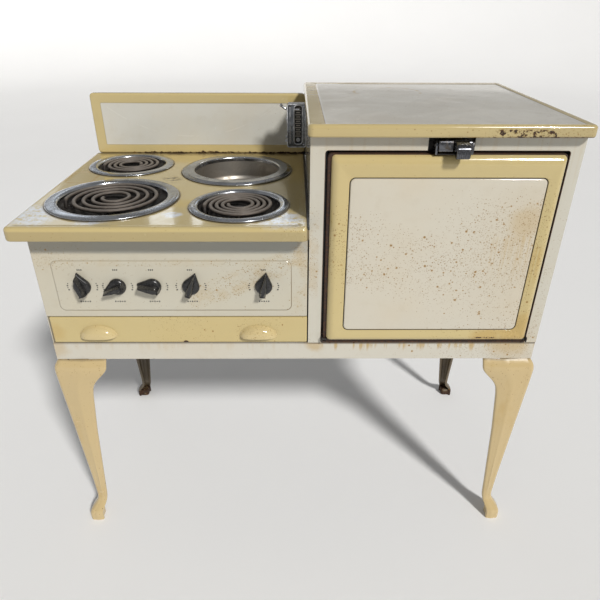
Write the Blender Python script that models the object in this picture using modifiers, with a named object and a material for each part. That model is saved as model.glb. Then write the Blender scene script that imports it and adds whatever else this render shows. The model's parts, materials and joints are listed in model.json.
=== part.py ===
"""An electric kitchen range on four tall legs: a cooking top on the left and a raised oven on the right.

Run it with: blender --background --python part.py
Lengths are metres and +Z is up. X runs to the right along the front and Y runs to the back. The origin is on
the floor, under the middle of the whole range. Every sub-part is one closed body in its own named object.
"""

from math import cos, pi, radians, sin

import bmesh
import bpy
from mathutils import Matrix, Vector

# ---- driving dimensions -------------------------------------------------------------------------------
GAP = 0.0004  # clearance between two parts that rest on each other
SHEET = 0.0015  # enamelled steel sheet

COOK_LEFT = -0.5975  # left edge of the cooking top
LIP_Y = -0.3275  # front edge of the cooking top
BACK_Y = 0.3275  # back of the terminal box
FACE_Y = LIP_Y + 0.050  # front plane of the body
REAR_Y = FACE_Y + 0.575  # rear plane of the body

RAIL_LEFT, RAIL_RIGHT = -0.576, 0.5815  # sides of the base frame
RAIL_LOW, RAIL_TOP = 0.557, 0.603
BODY_LOW = RAIL_TOP + GAP

COOK_Z = 0.914  # cooking surface, the standard 36 inches
COOK_RIGHT = 0.0325
COOK_BACK = FACE_Y + 0.5835
COOK_LIP = 0.030  # height of the rolled edge
PANEL_TOP = COOK_Z - 0.011  # below the inside of the rolled edge

OVEN_LEFT, OVEN_RIGHT = 0.0335, 0.5825
OVEN_Z = 1.114  # top of the oven
OVEN_LIP = 0.024
OVEN_PANEL_TOP = OVEN_Z - 0.008

TRAY_TOP = 0.675  # split between the control panel and the tray front

# Burners: name, centre x, centre y behind the face, radius outside the trim ring, radius inside it, turns
BURNERS = (
    ("front_left", -0.4210, 0.141, 0.1515, 0.1225, 4.0),
    ("rear_left", -0.4525, 0.434, 0.1145, 0.0905, 3.5),
    ("front_right", -0.124, 0.094, 0.1135, 0.0920, 4.0),
)
WELL_X, WELL_Y = -0.155, FACE_Y + 0.386
WELL_OUTER, WELL_INNER, WELL_DEPTH = 0.1485, 0.1135, 0.205
COIL_TUBE = 0.0047  # radius of a heating coil's tube

# Knobs: name, x, and the way its pointer rests, in degrees clockwise from straight up
KNOBS = (
    ("left_front", -0.476, -12.0),
    ("left_rear", -0.397, -110.0),
    ("right_rear", -0.318, -78.0),
    ("right_front", -0.232, 20.0),
    ("oven", -0.068, 10.0),
)
KNOB_Z = 0.757
PLATEAU = 0.0020  # how far the control panel's pressed field stands out

DOOR_LEFT, DOOR_RIGHT = 0.0685, 0.5505
DOOR_LOW, DOOR_TOP = 0.6110, 1.0550
DOOR_GAP = 0.004  # between the door and the front frame
DOOR_PROUD = 0.018  # how far the door stands out of the front frame
DOOR_INSET = 0.012  # how far its edge reaches in behind the front plane
DOOR_AXIS_Y, DOOR_AXIS_Z = FACE_Y - 0.006, 0.6175
PANEL_BOX = (0.1150, 0.5160, 0.6500, 1.0075)  # the door's white centre: left, right, low, top

LATCH_X, LATCH_Y, LATCH_Z = 0.3165, FACE_Y - 0.012, 1.0735
NOTCH_X, NOTCH_HALF = 0.3140, 0.0465

LINER = (0.086, 0.533, 0.640, 1.045)  # outside of the oven liner: left, right, low, top
LINER_FRONT, LINER_BACK = FACE_Y + 0.018, FACE_Y + 0.500
RACK_Z = 0.790

CONTROL_Y = FACE_Y + 0.430  # front of the heat control on the oven's left wall
CONTROL_LEFT = -0.019
CONTROL_LOW, CONTROL_TOP = 0.964, 1.078

LEG_OUT = 0.012  # how far the knee stands out past the base frame
LEG_WALL = 0.0045

# ---- finishes -----------------------------------------------------------------------------------------
CREAM = ("cream enamel", (0.66, 0.54, 0.27), 0.25, 0.0)
CAST = ("cream enamel on iron", *CREAM[1:])
WHITE = ("white enamel", (0.72, 0.69, 0.61), 0.25, 0.0)
CHROME = ("chrome plate", (0.60, 0.61, 0.63), 0.18, 1.0)
DARK_STEEL = ("heat darkened steel", (0.035, 0.032, 0.030), 0.60, 0.6)
COIL = ("sheathed heating coil", (0.13, 0.115, 0.10), 0.55, 0.7)
ALUMINIUM = ("spun aluminium", (0.42, 0.40, 0.37), 0.35, 1.0)
BAKELITE = ("black moulding", (0.016, 0.016, 0.017), 0.35, 0.0)
STEEL = ("plain steel", (0.35, 0.35, 0.34), 0.45, 1.0)
WOOL = ("mineral wool", (0.50, 0.42, 0.26), 0.95, 0.0)


# ---- making shapes ------------------------------------------------------------------------------------
def clear_scene():
    for obj in list(bpy.data.objects):
        bpy.data.objects.remove(obj, do_unlink=True)


def new_collection(name):
    found = bpy.data.collections.new(name)
    bpy.context.scene.collection.children.link(found)
    return found


def material_for(owner, finish):
    """A material for one part, in one of the finishes above."""
    name, colour, roughness, metallic = finish
    made = bpy.data.materials.new(f"{owner} {name}")
    made.use_nodes = True
    shader = made.node_tree.nodes["Principled BSDF"]
    shader.inputs["Base Color"].default_value = (*colour, 1.0)
    shader.inputs["Roughness"].default_value = roughness
    shader.inputs["Metallic"].default_value = metallic
    return made


def add_object(name, data, finish=None):
    """Links data as a part, or as a cutter if it has no finish."""
    obj = bpy.data.objects.new(name, data)
    if finish is None:
        CUTTERS.objects.link(obj)
        obj.hide_render = True
        obj.display_type = "WIRE"
    else:
        PARTS.objects.link(obj)
        data.materials.append(material_for(name, finish))
    return obj


def mesh_from(bm, name):
    bmesh.ops.recalc_face_normals(bm, faces=bm.faces)
    mesh = bpy.data.meshes.new(name)
    bm.to_mesh(mesh)
    bm.free()
    return mesh


def box(name, low, high, finish=None, open_side=None):
    """A box between two corners. open_side, such as (0, 0, -1), leaves out the face that looks that way."""
    low, high = Vector(low), Vector(high)
    bm = bmesh.new()
    bmesh.ops.create_cube(bm, size=1.0)
    bmesh.ops.scale(bm, vec=high - low, verts=bm.verts)
    if open_side:
        gone = [f for f in bm.faces if f.normal.dot(Vector(open_side)) > 0.9]
        bmesh.ops.delete(bm, geom=gone, context="FACES_ONLY")
        mesh = bpy.data.meshes.new(name)
        bm.to_mesh(mesh)
        bm.free()
    else:
        mesh = mesh_from(bm, name)
    obj = add_object(name, mesh, finish)
    obj.location = (low + high) / 2
    return obj


def cylinder(name, centre, radius, length, axis="Z", finish=None, sides=24):
    bm = bmesh.new()
    bmesh.ops.create_cone(bm, cap_ends=True, segments=sides, radius1=radius, radius2=radius, depth=length)
    turn = {"X": Matrix.Rotation(pi / 2, 3, "Y"), "Y": Matrix.Rotation(pi / 2, 3, "X")}
    if axis in turn:
        bmesh.ops.rotate(bm, verts=bm.verts, matrix=turn[axis])
    obj = add_object(name, mesh_from(bm, name), finish)
    obj.location = centre
    return obj


def turned(name, profile, location, finish, segments=40):
    """A ring turned about Z. Its closed profile of (radius, z) runs down the outside, then up the inside."""
    mesh = bpy.data.meshes.new(name)
    edges = [(i, (i + 1) % len(profile)) for i in range(len(profile))]
    mesh.from_pydata([(r, 0.0, z) for r, z in profile], edges, [])
    obj = add_object(name, mesh, finish)
    obj.location = location
    screw = obj.modifiers.new("turn", "SCREW")
    screw.axis = "Z"
    screw.steps = screw.render_steps = segments
    screw.use_merge_vertices = True
    screw.merge_threshold = 0.00005
    screw.use_smooth_shade = True
    return obj


def outline(name, points, thickness, finish=None, along="Z", location=(0, 0, 0)):
    """A flat plate from a closed outline, centred on its thickness and made a mesh.

    along Z keeps the outline in XY, along Y stands it up in XZ, and along X stands it up in YZ."""
    curve = bpy.data.curves.new(name, "CURVE")
    curve.dimensions = "2D"
    curve.fill_mode = "BOTH"
    curve.extrude = thickness / 2
    spline = curve.splines.new("POLY")
    spline.points.add(len(points) - 1)
    for point, (a, b) in zip(spline.points, points):
        point.co = (a, b, 0.0, 1.0)
    spline.use_cyclic_u = True
    stand = {"Y": Matrix.Rotation(pi / 2, 4, "X"), "X": Matrix.Rotation(pi / 2, 4,
                                                                        "Z") @ Matrix.Rotation(pi / 2, 4,
                                                                                               "X")}
    return baked(name, curve, Matrix.Translation(location) @ stand.get(along, Matrix.Identity(4)), finish)


def tube(name, points, radius, finish=None, sides_setting=2, cyclic=False):
    """A round bar along straight runs between points, with closed ends, made a mesh."""
    curve = bpy.data.curves.new(name, "CURVE")
    curve.dimensions = "3D"
    curve.bevel_depth = radius
    curve.bevel_resolution = sides_setting
    curve.use_fill_caps = True
    spline = curve.splines.new("POLY")
    spline.points.add(len(points) - 1)
    for point, place in zip(spline.points, points):
        point.co = (*place, 1.0)
    spline.use_cyclic_u = cyclic
    return baked(name, curve, Matrix.Identity(4), finish)


def baked(name, curve, place, finish):
    """The mesh of a curve, with its caps welded on, so that a Boolean can use it."""
    guide = bpy.data.objects.new(name + " guide", curve)
    CUTTERS.objects.link(guide)
    guide.matrix_world = place
    bpy.context.view_layer.update()
    evaluated = guide.evaluated_get(bpy.context.evaluated_depsgraph_get())
    mesh = bpy.data.meshes.new_from_object(evaluated)
    mesh.name = name
    mesh.materials.clear()
    bm = bmesh.new()
    bm.from_mesh(mesh)
    bmesh.ops.remove_doubles(bm, verts=bm.verts, dist=1e-6)
    bmesh.ops.recalc_face_normals(bm, faces=bm.faces)
    bm.to_mesh(mesh)
    bm.free()
    obj = add_object(name, mesh, finish)
    obj.matrix_world = place
    bpy.data.objects.remove(guide, do_unlink=True)
    return obj


def boolean(obj, other, operation="DIFFERENCE"):
    modifier = obj.modifiers.new(f"{operation.lower()} {other.name}", "BOOLEAN")
    modifier.operation = operation
    modifier.object = other
    return obj


def solidify(obj, thickness=SHEET):
    """Gives an open box or surface a wall, inside its faces."""
    modifier = obj.modifiers.new("wall", "SOLIDIFY")
    modifier.thickness = thickness
    modifier.offset = -1.0
    modifier.use_even_offset = True
    return obj


def rounded(obj, width, segments=2, angle=50.0):
    modifier = obj.modifiers.new("round edges", "BEVEL")
    modifier.width = width
    modifier.segments = segments
    modifier.limit_method = "ANGLE"
    modifier.angle_limit = radians(angle)
    return obj


def round_rectangle(left, right, low, top, radius, steps=4):
    """Points of a rectangle with round corners, going anticlockwise."""
    centres = ((right - radius, low + radius, -90), (right - radius, top - radius, 0),
               (left + radius, top - radius, 90), (left + radius, low + radius, 180))
    points = []
    for x, z, start in centres:
        for i in range(steps + 1):
            angle = radians(start + 90 * i / steps)
            points.append((x + radius * cos(angle), z + radius * sin(angle)))
    return points


def spiral(centre, inner, outer, turns, z, end_angle, per_turn=14):
    """Points of a flat spiral that ends at end_angle, then dips as its lead goes down into the bowl."""
    count = int(turns * per_turn)
    points = []
    for i in range(count + 1):
        share = i / count
        angle = end_angle - 2 * pi * turns * (1 - share)
        radius = inner + (outer - inner) * share
        points.append((centre[0] + radius * cos(angle), centre[1] + radius * sin(angle), z))
    last = Vector(points[-1])
    ahead = (last - Vector(points[-2])).normalized()
    for forward, drop in ((0.008, 0.004), (0.013, 0.014)):
        points.append(tuple(last + ahead * forward - Vector((0, 0, drop))))
    return points


# ---- base and legs ------------------------------------------------------------------------------------
def make_base():
    """The pressed band that carries the body, with an inward flange along its top, and the floor sheet."""
    band, flange = 0.002, 0.022
    base = box("base_frame", (RAIL_LEFT, FACE_Y, RAIL_LOW), (RAIL_RIGHT, REAR_Y, RAIL_TOP), WHITE)
    boolean(base, box("base channel", (RAIL_LEFT + band, FACE_Y + band, RAIL_LOW - 0.01),
                      (RAIL_RIGHT - band, REAR_Y - band, RAIL_TOP - band)))
    boolean(base, box("base opening", (RAIL_LEFT + flange, FACE_Y + flange, RAIL_LOW - 0.02),
                      (RAIL_RIGHT - flange, REAR_Y - flange, RAIL_TOP + 0.01)))
    inset = 0.004
    box("floor_pan", (RAIL_LEFT + inset, FACE_Y + 0.016, BODY_LOW),
        (RAIL_RIGHT - inset, REAR_Y - inset, BODY_LOW + SHEET), STEEL)


def leg_outline():
    """Half section of a leg as seen from the front, at a corner where both outer faces are at zero.

    The knee swells at the top, the shank tapers to the ankle, and the foot kicks out again."""
    top = RAIL_LOW - GAP
    outer_side = ((0.004, top), (-0.009, top - 0.010), (-LEG_OUT, top - 0.026), (-0.010, 0.480),
                  (-0.003, 0.330), (0.008, 0.075), (0.007, 0.058), (-0.002, 0.044), (-0.013, 0.034),
                  (-0.016, 0.028), (-0.016, 0.0))
    inner_side = ((0.022, 0.0), (0.022, 0.030), (0.030, 0.046), (0.034, 0.060), (0.036, 0.080),
                  (0.056, 0.330),
                  (0.070, 0.455), (0.074, 0.475), (0.084, 0.492), (0.117, 0.527), (0.117, top))
    return outer_side + inner_side


def make_leg(name, side_x, side_y):
    """One pressed corner leg: two faces of the same outline that meet at the outer corner."""
    corner = Vector((RAIL_RIGHT if side_x > 0 else RAIL_LEFT, FACE_Y if side_y < 0 else REAR_Y, 0))
    deep = 0.30
    shape = leg_outline()
    facing_x = [(-side_x * a, z) for a, z in shape]
    facing_y = [(-side_y * a, z) for a, z in shape]
    leg = outline(name, facing_x, deep, CAST, "Y", corner)
    boolean(leg, outline(name + " side view", facing_y, deep, None, "X", corner), "INTERSECT")
    inward = Vector((-side_x * LEG_WALL, -side_y * LEG_WALL, 0))
    hollow = outline(name + " hollow", facing_x, deep, None, "Y", corner + inward)
    boolean(hollow, outline(name + " hollow side", facing_y, deep, None, "X", corner + inward), "INTERSECT")
    foot_height, plate_low = 0.030, RAIL_LOW - GAP - 0.006
    reach = 0.20
    boolean(hollow, box(name + " foot block", corner + Vector((-reach, -reach, -0.01)),
                        corner + Vector((reach, reach, foot_height))))
    boolean(leg, hollow)
    plate = sorted((corner.x - side_x * 0.002, corner.x - side_x * 0.070))
    depth = sorted((corner.y - side_y * 0.002, corner.y - side_y * 0.070))
    boolean(leg, box(name + " top plate", (plate[0], depth[0], plate_low),
                     (plate[1], depth[1], RAIL_LOW - GAP)), "UNION")


def make_legs():
    for end, side_y in (("front", -1), ("rear", 1)):
        for side, side_x in (("left", -1), ("right", 1)):
            make_leg(f"leg_{end}_{side}", side_x, side_y)


# ---- cooking side -------------------------------------------------------------------------------------
def make_cooking_body():
    box("left_side_panel", (RAIL_LEFT, FACE_Y + SHEET + GAP, BODY_LOW),
        (RAIL_LEFT + SHEET, REAR_Y - SHEET - GAP, PANEL_TOP), WHITE)
    box("rear_panel", (RAIL_LEFT, REAR_Y - SHEET, BODY_LOW), (COOK_RIGHT - 0.003, REAR_Y, PANEL_TOP), WHITE)
    panel = box("control_panel", (RAIL_LEFT, FACE_Y, TRAY_TOP + 0.001),
                (COOK_RIGHT - 0.002, FACE_Y + SHEET, PANEL_TOP), WHITE)
    field = round_rectangle(-0.536, -0.007, 0.695, 0.8175, 0.012)
    plateau = outline("panel field", field, PLATEAU + SHEET / 2, None, "Y",
                      (0, FACE_Y - PLATEAU / 2 + SHEET / 4, 0))
    boolean(panel, plateau, "UNION")
    for name, x, _ in KNOBS:
        boolean(panel, cylinder(f"shaft hole {name}", (x, FACE_Y, KNOB_Z), 0.0055, 0.02, "Y", sides=12))


def make_cooktop():
    """The one-piece enamelled top with its rolled edge, and the pressed splash guard that stands on it."""
    top = box("cooktop", (COOK_LEFT, LIP_Y, COOK_Z - COOK_LIP), (COOK_RIGHT, COOK_BACK, COOK_Z), CREAM,
              (0, 0, -1))
    rounded(top, 0.008, 3)
    solidify(top)
    for name, x, y, _, inner, _ in BURNERS:
        boolean(top, cylinder(f"hole {name}", (x, FACE_Y + y, COOK_Z), inner + 0.004, 0.02, sides=40))
    boolean(top, cylinder("hole well", (WELL_X, WELL_Y, COOK_Z), WELL_INNER + 0.006, 0.02, sides=40))
    splash = box("backsplash", (-0.587, FACE_Y + 0.565, COOK_Z + GAP),
                 (COOK_RIGHT, COOK_BACK - 0.0005, 1.084),
                 CREAM, (0, 1, 0))
    rounded(splash, 0.004, 2)
    solidify(splash)


def make_burner(name, x, y, outer, inner, turns):
    """Trim ring over a drip bowl, with a coil on its three-armed spider. The bowl hangs by its flange."""
    place = (x, FACE_Y + y, COOK_Z)
    ring = ((outer - 0.0012, 0.0036), (outer, 0.0018), (outer, GAP), (outer - 0.0018, GAP),
            (outer - 0.003, 0.0019),
            (inner + 0.0016, 0.0017), (inner + 0.0013, -0.0025), (inner, -0.0025), (inner + 0.0015, 0.0026),
            (inner + 0.005, 0.0043), (outer - 0.006, 0.0050))
    turned(f"trim_ring_{name}", ring, place, CHROME, 40)
    wall, depth, floor = 0.0008, 0.036, inner * 0.62
    bowl = ((inner + 0.012, GAP + wall), (inner + 0.012, GAP), (inner + 0.0034, GAP),
            (inner + 0.0031, -0.008),
            (floor + 0.012, -depth + 0.004), (floor, -depth), (0.012, -depth), (0.012, -depth + wall),
            (floor, -depth + wall), (floor + 0.0112, -depth + 0.0048), (inner + 0.0021,
                                                                        -0.0074), (inner + 0.0026,
                                                                                   GAP + wall))
    turned(f"drip_bowl_{name}", bowl, place, DARK_STEEL, 32)
    points = spiral(place, 0.024, inner - 0.016, turns, COOK_Z + 0.0012, pi * 1.02)
    coil = tube(f"surface_coil_{name}", points, COIL_TUBE, COIL)
    arm_top, arm_low, half = COOK_Z - 0.0015, COOK_Z - 0.012, 0.0011
    reach = inner - 0.010
    for i, angle in enumerate((35, 155, 275)):
        arm = box(f"spider arm {name} {i}", (-0.004, -half, arm_low - COOK_Z),
                  (reach, half, arm_top - COOK_Z))
        turn = Matrix.Rotation(radians(angle), 4, "Z")
        arm.matrix_world = Matrix.Translation(place) @ turn @ Matrix.Translation(arm.location)
        boolean(coil, arm, "UNION")


def make_well():
    """The deep well: collar, spun liner that hangs from its flange, and the coil on its floor."""
    place = (WELL_X, WELL_Y, COOK_Z)
    outer, inner, wall = WELL_OUTER, WELL_INNER, 0.0015
    collar = ((outer - 0.001, 0.0042), (outer, 0.0025), (outer, GAP), (outer - 0.002, GAP),
              (outer - 0.004, 0.0024),
              (inner + 0.001, 0.0024), (inner + 0.001, -0.004), (inner, -0.004), (inner,
                                                                                  0.0055), (inner + 0.003,
                                                                                            0.0066),
              (outer - 0.010, 0.0060), (outer - 0.009, 0.0045))
    turned("well_collar", collar, place, ALUMINIUM, 48)
    bead, low = inner - 0.004, -WELL_DEPTH
    liner = ((inner + 0.012, GAP + wall), (inner + 0.012, GAP), (inner + 0.0035, GAP),
             (inner + 0.0035, -0.055), (bead, -0.062),
             (bead, low + 0.012), (bead - 0.010, low), (0.010, low), (0.010, low + wall), (bead - 0.0105,
                                                                                           low + wall),
             (bead - wall, low + 0.0125), (bead - wall, -0.0615), (inner + 0.002,
                                                                   -0.0545), (inner + 0.002, GAP + wall))
    turned("well_liner", liner, place, ALUMINIUM, 40)
    tube("well_coil", spiral(place, 0.026, 0.088, 3.0, COOK_Z + low + wall + COIL_TUBE + 0.0165, pi),
         COIL_TUBE, COIL)


def make_knob(name, x, angle):
    """A pointer knob on its axis: a teardrop skirt, a tall grip blade, and the shaft that it turns."""
    axis_y = FACE_Y - PLATEAU - 0.001
    round_part, tip, skirt = 0.0193, 0.0350, 0.0115
    teardrop = [(0.0, tip)]
    teardrop += [(round_part * cos(radians(a)), round_part * sin(radians(a))) for a in range(35, -216, -25)]
    knob = outline(f"knob_{name}", [(-a, b) for a, b in teardrop], skirt, BAKELITE, "Y", (0, -skirt / 2, 0))
    grip = ((0.0, tip - 0.0045), (0.0072, 0.014), (0.0082, -0.0045), (0.0060, -0.0175), (-0.0060, -0.0175),
            (-0.0082, -0.0045), (-0.0072, 0.014))
    blade_height = 0.028
    boolean(knob, outline(f"grip {name}", grip, blade_height - 0.004, None, "Y",
                          (0, -blade_height / 2 - 0.002, 0)), "UNION")
    boolean(knob, cylinder(f"shaft {name}", (0, 0.008, 0), 0.003, 0.022, "Y", sides=12), "UNION")
    place = Matrix.Translation((x, axis_y, KNOB_Z)) @ Matrix.Rotation(radians(angle), 4, "Y")
    pivot = bpy.data.objects.new(f"knob axis {name}", None)
    PARTS.objects.link(pivot)
    pivot.matrix_world = place
    for obj in (knob, *[m.object for m in knob.modifiers]):
        local = obj.matrix_basis.copy()
        obj.parent = pivot
        obj.matrix_basis = local


def make_switch(name, x):
    """The rotary switch behind a knob: a moulded body with a socket for the shaft."""
    front = FACE_Y + SHEET + GAP
    switch = box(f"switch_{name}", (x - 0.021, front, KNOB_Z - 0.024),
                 (x + 0.021, front + 0.044, KNOB_Z + 0.024), BAKELITE)
    boolean(switch, cylinder(f"socket {name}", (x, front, KNOB_Z), 0.0032, 0.036, "Y", sides=12))


def make_tray():
    """The shallow tray under the burners, with its front, its two cup pulls and the angle runners."""
    left, right = -0.560, 0.016
    front_right = COOK_RIGHT - 0.0015
    front = box("tray_front", (RAIL_LEFT + 0.0045, FACE_Y, BODY_LOW + 0.0006),
                (front_right, FACE_Y + 0.012, TRAY_TOP - 0.0006),
                CREAM, (0, 1, 0))
    rounded(front, 0.002, 1)
    solidify(front)
    pan_front, pan_back = FACE_Y + 0.012 + GAP, FACE_Y + 0.500
    solidify(box("tray_pan", (left, pan_front, 0.6078), (right, pan_back, 0.660), STEEL, (0, 0, 1)), 0.0012)
    for side, x in (("left", -0.4625), ("right", -0.0845)):
        make_cup_pull(f"tray_pull_{side}", x)
    low, thick, wide, tall = BODY_LOW + SHEET + GAP, 0.0020, 0.020, 0.030
    corner = ((0, 0), (wide, 0), (wide, thick), (thick, thick), (thick, tall), (0, tall))
    length = REAR_Y - 0.020 - (FACE_Y + 0.018)
    middle = (REAR_Y - 0.020 + FACE_Y + 0.018) / 2
    outline("tray_runner_left", corner, length, STEEL, "Y", (-0.5735, middle, low))
    outline("tray_runner_right", [(-a, b) for a, b in corner], length, STEEL, "Y",
            (COOK_RIGHT - 0.0025, middle, low))


def make_cup_pull(name, x):
    """A half-moon pull, pressed hollow and open underneath for the fingers."""
    half, deep, tall = 0.045, 0.018, 0.029
    bm = bmesh.new()
    bmesh.ops.create_uvsphere(bm, u_segments=24, v_segments=12, radius=1.0)
    for normal in ((0, 1, 0), (0, 0, -1)):
        geometry = [*bm.verts, *bm.edges, *bm.faces]
        bmesh.ops.bisect_plane(bm, geom=geometry, plane_co=(0, 0, 0), plane_no=normal, clear_outer=True,
                               dist=1e-5)
    bmesh.ops.scale(bm, vec=(half, deep, tall), verts=bm.verts)
    mesh = bpy.data.meshes.new(name)
    bm.to_mesh(mesh)
    bm.free()
    pull = add_object(name, mesh, CREAM)
    pull.location = (x, FACE_Y - 0.0008, 0.624)
    solidify(pull, 0.0016)


# ---- oven ---------------------------------------------------------------------------------------------
def make_oven_shell():
    """White outer panels, the front frame with the door opening and latch notch, and the two-tone top."""
    top = OVEN_PANEL_TOP
    inside = SHEET + GAP
    above_pan = BODY_LOW + inside
    box("oven_left_panel", (OVEN_LEFT, FACE_Y + inside, above_pan),
        (OVEN_LEFT + SHEET, REAR_Y - inside, top), WHITE)
    box("oven_right_panel", (OVEN_RIGHT - SHEET, FACE_Y + inside, BODY_LOW),
        (OVEN_RIGHT, REAR_Y - inside, top), WHITE)
    box("oven_rear_panel", (OVEN_LEFT, REAR_Y - SHEET, BODY_LOW), (OVEN_RIGHT, REAR_Y, top), WHITE)
    frame = box("oven_front_frame", (OVEN_LEFT, FACE_Y, BODY_LOW), (OVEN_RIGHT, FACE_Y + SHEET, top), WHITE)
    opening = round_rectangle(DOOR_LEFT - DOOR_GAP, DOOR_RIGHT + DOOR_GAP, DOOR_LOW - 0.0025,
                              DOOR_TOP + DOOR_GAP, 0.003, 3)
    boolean(frame, outline("door opening", opening, 0.02, None, "Y", (0, FACE_Y, 0)))
    boolean(frame, box("latch notch", (NOTCH_X - NOTCH_HALF, FACE_Y - 0.01, DOOR_TOP),
                       (NOTCH_X + NOTCH_HALF, FACE_Y + 0.01, OVEN_Z - OVEN_LIP - 0.0015)))
    lid = box("oven_top", (0.0276, FACE_Y - 0.025, OVEN_Z - OVEN_LIP), (0.5885, REAR_Y + 0.005, OVEN_Z),
              CREAM, (0, 0, -1))
    rounded(lid, 0.006, 3)
    solidify(lid)


def make_oven_liner():
    """The oven cavity, with its mounting flange in front and a pressed ledge on each side for the rack."""
    left, right, low, top = LINER
    wall = 0.0012
    liner = solidify(box("oven_liner", (left, LINER_FRONT, low), (right, LINER_BACK, top), DARK_STEEL,
                         (0, -1, 0)), wall)
    flange = box("liner flange", (0.050, LINER_FRONT - 0.0005, 0.6065), (0.568, LINER_FRONT + wall, 1.066))
    boolean(flange, box("liner mouth", (left + 0.0006, LINER_FRONT - 0.01, low + 0.0006),
                        (right - 0.0006, LINER_FRONT + 0.01, top - 0.0006)))
    boolean(liner, flange, "UNION")
    for side, inner, reach in (("left", left, 0.011), ("right", right, -0.011)):
        edges = sorted((inner + (0.0004 if reach > 0 else -0.0004), inner + reach))
        boolean(liner, box(f"rack ledge {side}", (edges[0], LINER_FRONT + 0.040, RACK_Z - 0.009),
                           (edges[1], LINER_BACK - 0.020, RACK_Z - 0.0045)), "UNION")
    clear, deep = 0.0015, 0.026
    wool = box("oven_insulation", (left - deep, FACE_Y + 0.021, low - deep),
               (right + deep, LINER_BACK + deep, top + deep), WOOL)
    boolean(wool, box("wool cavity", (left - clear, FACE_Y, low - clear),
                      (right + clear, LINER_BACK + clear, top + clear)))


def make_rack():
    """A wire rack: a round-cornered frame with wires from front to back."""
    left, right = LINER[0] + 0.006, LINER[1] - 0.006
    front, back = FACE_Y + 0.055, LINER_BACK - 0.015
    frame = [(x, y, RACK_Z) for x, y in round_rectangle(left, right, front, back, 0.018, 3)]
    rack = tube("oven_rack", frame, 0.0030, STEEL, 1, cyclic=True)
    wires = 9
    for i in range(wires):
        x = left + (right - left) * (i + 1) / (wires + 1)
        wire = tube(f"rack wire {i}", [(x, front - 0.001, RACK_Z), (x, back + 0.001, RACK_Z)], 0.0018,
                    None, 1)
        boolean(rack, wire, "UNION")


def serpentine(z, rows, left, right, front, back):
    """Points of a flat element that runs forth and back in loops with round ends."""
    pitch = (right - left) / (rows - 1)
    points = []
    for row in range(rows):
        x = left + pitch * row
        ends = (back, front) if row % 2 == 0 else (front, back)
        points.append((x, ends[0], z))
        points.append((x, ends[1], z))
        if row < rows - 1:
            outward = -1 if ends[1] == front else 1
            middle = x + pitch / 2
            for step in range(1, 4):
                angle = pi * step / 4
                points.append((middle - pitch / 2 * cos(angle),
                               ends[1] + outward * pitch / 2 * sin(angle), z))
    return points


def make_oven_elements():
    left, right = LINER[0] + 0.040, LINER[1] - 0.040
    front, back = FACE_Y + 0.115, LINER_BACK - 0.055
    tube("bake_element", serpentine(0.668, 6, left, right, front, back), 0.0035, COIL)
    tube("broil_element", serpentine(1.022, 6, left, right, front, back), 0.0035, COIL)


# ---- door and latch -----------------------------------------------------------------------------------
def make_door():
    """The door frame with its raised border, the white centre, the inner box and the two side hinges."""
    front = FACE_Y - DOOR_PROUD
    frame = box("door_frame", (DOOR_LEFT, front, DOOR_LOW), (DOOR_RIGHT, FACE_Y + DOOR_INSET, DOOR_TOP),
                CREAM, (0, 1, 0))
    rounded(frame, 0.011, 3)
    solidify(frame, 0.0020)
    left, right, low, top = PANEL_BOX
    seam = 0.0012
    hole = round_rectangle(left - seam, right + seam, low - seam, top + seam, 0.012)
    boolean(frame, outline("panel hole", hole, 0.02, None, "Y", (0, front, 0)))
    for side, x in (("left", DOOR_LEFT), ("right", DOOR_RIGHT)):
        boolean(frame, cylinder(f"hinge hole {side}", (x, DOOR_AXIS_Y, DOOR_AXIS_Z), 0.00265, 0.016, "X",
                                sides=16))
    outline("door_panel", round_rectangle(left, right, low, top, 0.011), 0.0025, WHITE, "Y",
            (0, front + 0.0016, 0))
    solidify(box("door_liner", (LINER[0] + 0.009, front + 0.0035, LINER[2] + 0.010),
                 (LINER[1] - 0.009, FACE_Y + 0.040, LINER[3] - 0.009), DARK_STEEL, (0, -1, 0)))
    for side, x, inward in (("left", DOOR_LEFT, 1), ("right", DOOR_RIGHT, -1)):
        make_hinge(side, x, inward)


def make_hinge(side, x, inward):
    """A flat bracket in the gap beside the door, with the pin that the door turns on."""
    edges = sorted((x - inward * 0.0033, x - inward * 0.0009))
    bracket = box(f"door_hinge_{side}", (edges[0], DOOR_AXIS_Y - 0.006, DOOR_AXIS_Z - 0.006),
                  (edges[1], FACE_Y + 0.015, DOOR_AXIS_Z + 0.006), STEEL)
    pin_length = 0.012
    centre = (x - inward * 0.001 + inward * (pin_length / 2 - 0.001), DOOR_AXIS_Y, DOOR_AXIS_Z)
    boolean(bracket, cylinder(f"hinge pin {side}", centre, 0.0025, pin_length, "X", sides=16), "UNION")


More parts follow.
